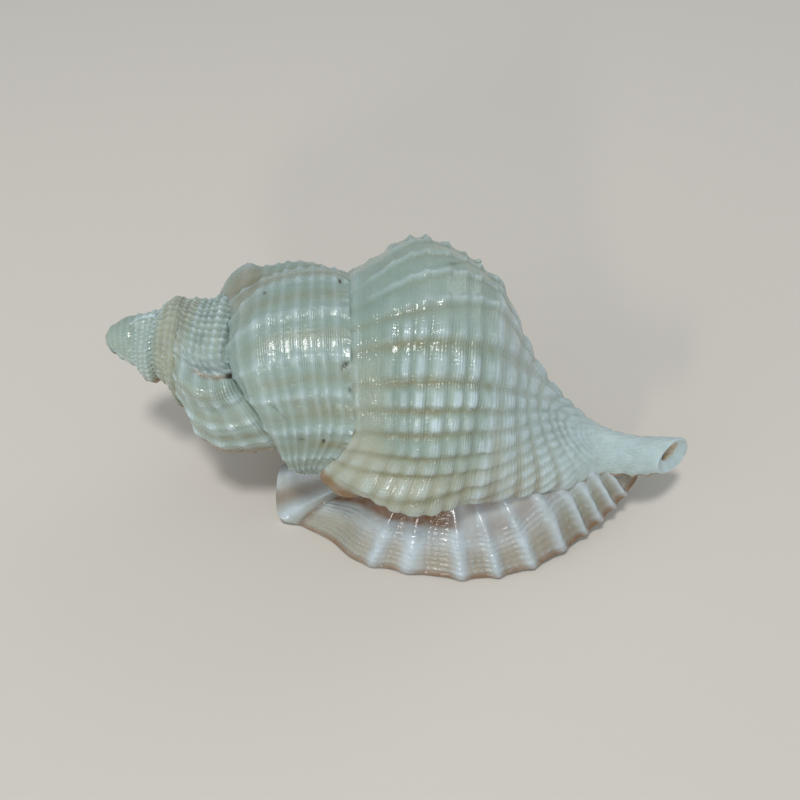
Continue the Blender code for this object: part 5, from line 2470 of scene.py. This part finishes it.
    def colour(self, nodes: Nodes, masks: dict[Mask, Socket], flecks: Socket, beads: Socket) -> Socket:
        """Colour of the surface: the ground, with each mask's colour laid over it in turn.

        Args:
            nodes: The material's nodes.
            masks: The socket of each mask.
            flecks: The noise that breaks up the masks.
            beads: Where the fine threads cross the growth lines, which is painted white as glints.

        Returns:
            The colour.
        """
        clouds = nodes.noise(self.cloud_size, self.cloud_detail)
        green = nodes.span(clouds, *self.green_share)
        tan, white = nodes.span(flecks, *self.tan_share), nodes.span(flecks, *self.white_share)
        brown = nodes.span(flecks, *self.brown_share)
        layers = (
            (nodes.times(masks[Mask.GREEN], green), self.green),
            (nodes.times(masks[Mask.YELLOW], self.yellow_share), self.yellow),
            (nodes.times(masks[Mask.TAN], tan, clamp=True), self.tan),
            (nodes.times(masks[Mask.WHITE], white, clamp=True), self.white),
            # Painted glints: white laid where the fine threads cross the growth lines.
            (nodes.times(beads, self.painted_glint_share), self.white),
            (nodes.times(masks[Mask.BROWN], brown, clamp=True), self.brown),
            (masks[Mask.DARK], self.dark),
        )
        colour = nodes.mix(nodes.span(clouds, *self.cloud_span), self.ground, self.ground_patch)
        for share, laid in layers:
            colour = nodes.mix(share, colour, laid)
        return colour

    def bumps(self, nodes: Nodes, threads: Socket) -> Socket:
        """Normal of the surface, bumped by the threads and by fine pores.

        Args:
            nodes: The material's nodes.
            threads: The height of the threads.

        Returns:
            The normal.
        """
        inputs = {"Strength": 1.0, "Distance": self.thread_depth * MM, "Height": threads}
        threaded = nodes.add("ShaderNodeBump", inputs).outputs[0]
        pores = nodes.noise(self.pore_size, self.pore_detail)
        inputs = {"Strength": 1.0, "Distance": self.pore_depth * MM, "Height": pores, "Normal": threaded}
        return nodes.add("ShaderNodeBump", inputs).outputs[0]


# Brown is laid both as the shell's brown and as painted shadow and shade; dark as the pits' dark and as
# painted shade in the seams; and the thread crossings get white as painted glints.
FINISHES = (
    ShellFinish(
        Finish.WHORL,
        ground=linear(152, 171, 160),
        ground_patch=linear(164, 181, 170),
        white=linear(196, 214, 218),
        tan=linear(132, 132, 102),
        brown=linear(132, 100, 60),
        dark=linear(62, 52, 38),
        green=linear(132, 154, 143),
        yellow=linear(176, 174, 149),
        threads=6.0,
        lines=9.0,
        painted_glint_share=0.16,
        thread_depth=0.035,
        roughness=(0.11, 0.32),
        coat=0.2,
        tile_share=0.45,
    ),
    ShellFinish(
        Finish.FLANGE,
        ground=linear(160, 164, 154),
        ground_patch=linear(170, 173, 164),
        white=linear(192, 205, 211),
        tan=linear(150, 140, 118),
        brown=linear(124, 88, 54),
        dark=linear(62, 52, 38),
        green=linear(152, 162, 142),
        yellow=linear(172, 163, 149),
        threads=4.0,
        lines=0.5,
        painted_glint_share=0.5,
        thread_depth=0.08,
        roughness=(0.09, 0.28),
        coat=0.25,
    ),
    ShellFinish(
        Finish.GLAZE,
        ground=linear(190, 180, 158),
        ground_patch=linear(200, 190, 170),
        white=linear(216, 216, 206),
        tan=linear(150, 132, 100),
        brown=linear(110, 80, 48),
        dark=linear(60, 46, 32),
        green=linear(160, 160, 140),
        yellow=linear(190, 170, 130),
        threads=1.0,
        lines=1.0,
        painted_glint_share=0.0,
        thread_depth=0.0,
        roughness=(0.2, 0.35),
        coat=0.3,
    ),
)


@dataclass(frozen=True)
class Lamp:
    """A square soft lamp: its name, where it hangs in metres, its side, and its power in watts."""

    name: str
    at: tuple[float, float, float]
    size: float
    power: float
    toward: tuple[float, float, float] = (0.0, 0.0, 0.01)

    def hang(self) -> None:
        """Hang the lamp so that it faces the shell."""
        lamp = bpy.data.lights.new(self.name, "AREA")
        lamp.shape = "SQUARE"
        lamp.size = self.size
        lamp.energy = self.power
        place_facing(bpy.data.objects.new(self.name, lamp), Vector(self.at), Vector(self.toward))


def place_facing(thing: bpy.types.Object, at: Vector, toward: Vector) -> None:
    """Put a lamp or a camera in the scene.

    Args:
        thing: Its object.
        at: Where it goes, in metres.
        toward: The point that it faces.
    """
    thing.location = at
    thing.rotation_euler = (toward - at).to_track_quat("-Z", "Y").to_euler()
    bpy.context.scene.collection.objects.link(thing)


@dataclass(frozen=True)
class Studio:
    """A plain pale floor, soft light from above, and the camera. The camera's places are in millimetres."""

    floor_size: float = 3.0
    floor_colour: Colour = linear(214, 208, 198)
    floor_roughness: float = 0.85
    lamps: tuple[Lamp, ...] = (
        Lamp("key", (-0.02, -0.10, 0.42), 0.06, 0.76),
        Lamp("fill", (-0.35, -0.30, 0.22), 0.35, 0.32),
        Lamp("front", (-0.04, -0.40, 0.14), 0.05, 0.35),
        Lamp("back", (0.25, 0.40, 0.30), 0.30, 0.32),
    )
    room_colour: Colour = (0.86, 0.93, 1.0)
    room_strength: float = 0.36
    camera_at: tuple[float, float, float] = (9.07, -58.62, 80.79)
    camera_toward: tuple[float, float, float] = (-1.43, 8.38, 0.09)
    lens: float = 40.5
    sensor: float = 36.0
    clip_start: float = 0.005

    def build(self) -> None:
        """Build the floor, the lights, the room's light and the camera."""
        self.build_floor()
        for lamp in self.lamps:
            lamp.hang()
        world = bpy.data.worlds.new("room")
        world.use_nodes = True
        background = world.node_tree.nodes["Background"]
        background.inputs["Color"].default_value = (*self.room_colour, 1.0)
        background.inputs["Strength"].default_value = self.room_strength
        bpy.context.scene.world = world
        bpy.context.scene.view_settings.view_transform = "Standard"
        self.add_camera()

    def build_floor(self) -> None:
        """Build the floor as one large flat square."""
        half = self.floor_size / 2.0
        corners = [(-half, -half, 0.0), (half, -half, 0.0), (half, half, 0.0), (-half, half, 0.0)]
        mesh = bpy.data.meshes.new("floor")
        mesh.from_pydata(corners, [], [tuple(range(len(corners)))])
        floor = bpy.data.objects.new("floor", mesh)
        bpy.context.scene.collection.objects.link(floor)
        paint = bpy.data.materials.new("floor_paint")
        paint.use_nodes = True
        surface = paint.node_tree.nodes["Principled BSDF"]
        surface.inputs["Base Color"].default_value = (*self.floor_colour, 1.0)
        surface.inputs["Roughness"].default_value = self.floor_roughness
        floor.data.materials.append(paint)

    def add_camera(self) -> None:
        """Add the camera, looking down on the shell from the side of its lip."""
        camera = bpy.data.cameras.new("camera")
        camera.lens = self.lens
        camera.sensor_width = self.sensor
        camera.clip_start = self.clip_start
        holder = bpy.data.objects.new("camera", camera)
        place_facing(holder, Vector(self.camera_at) * MM, Vector(self.camera_toward) * MM)
        bpy.context.scene.camera = holder


def main() -> None:
    """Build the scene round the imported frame."""
    logging.basicConfig(level=logging.INFO, format="%(message)s")
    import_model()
    shell = Shell().build()
    LOG.info("shell: %d faces", len(shell.data.polygons))
    groups = Groups(MottleGroup().build(), ThreadGroup().build(), TileGroup().build())
    for finish in FINISHES:
        material = finish.dress(groups)
        LOG.info("finish: %s", material.name)
    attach(shell, "root")
    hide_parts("shell")
    Studio().build()


if __name__ == "__main__":
    main()
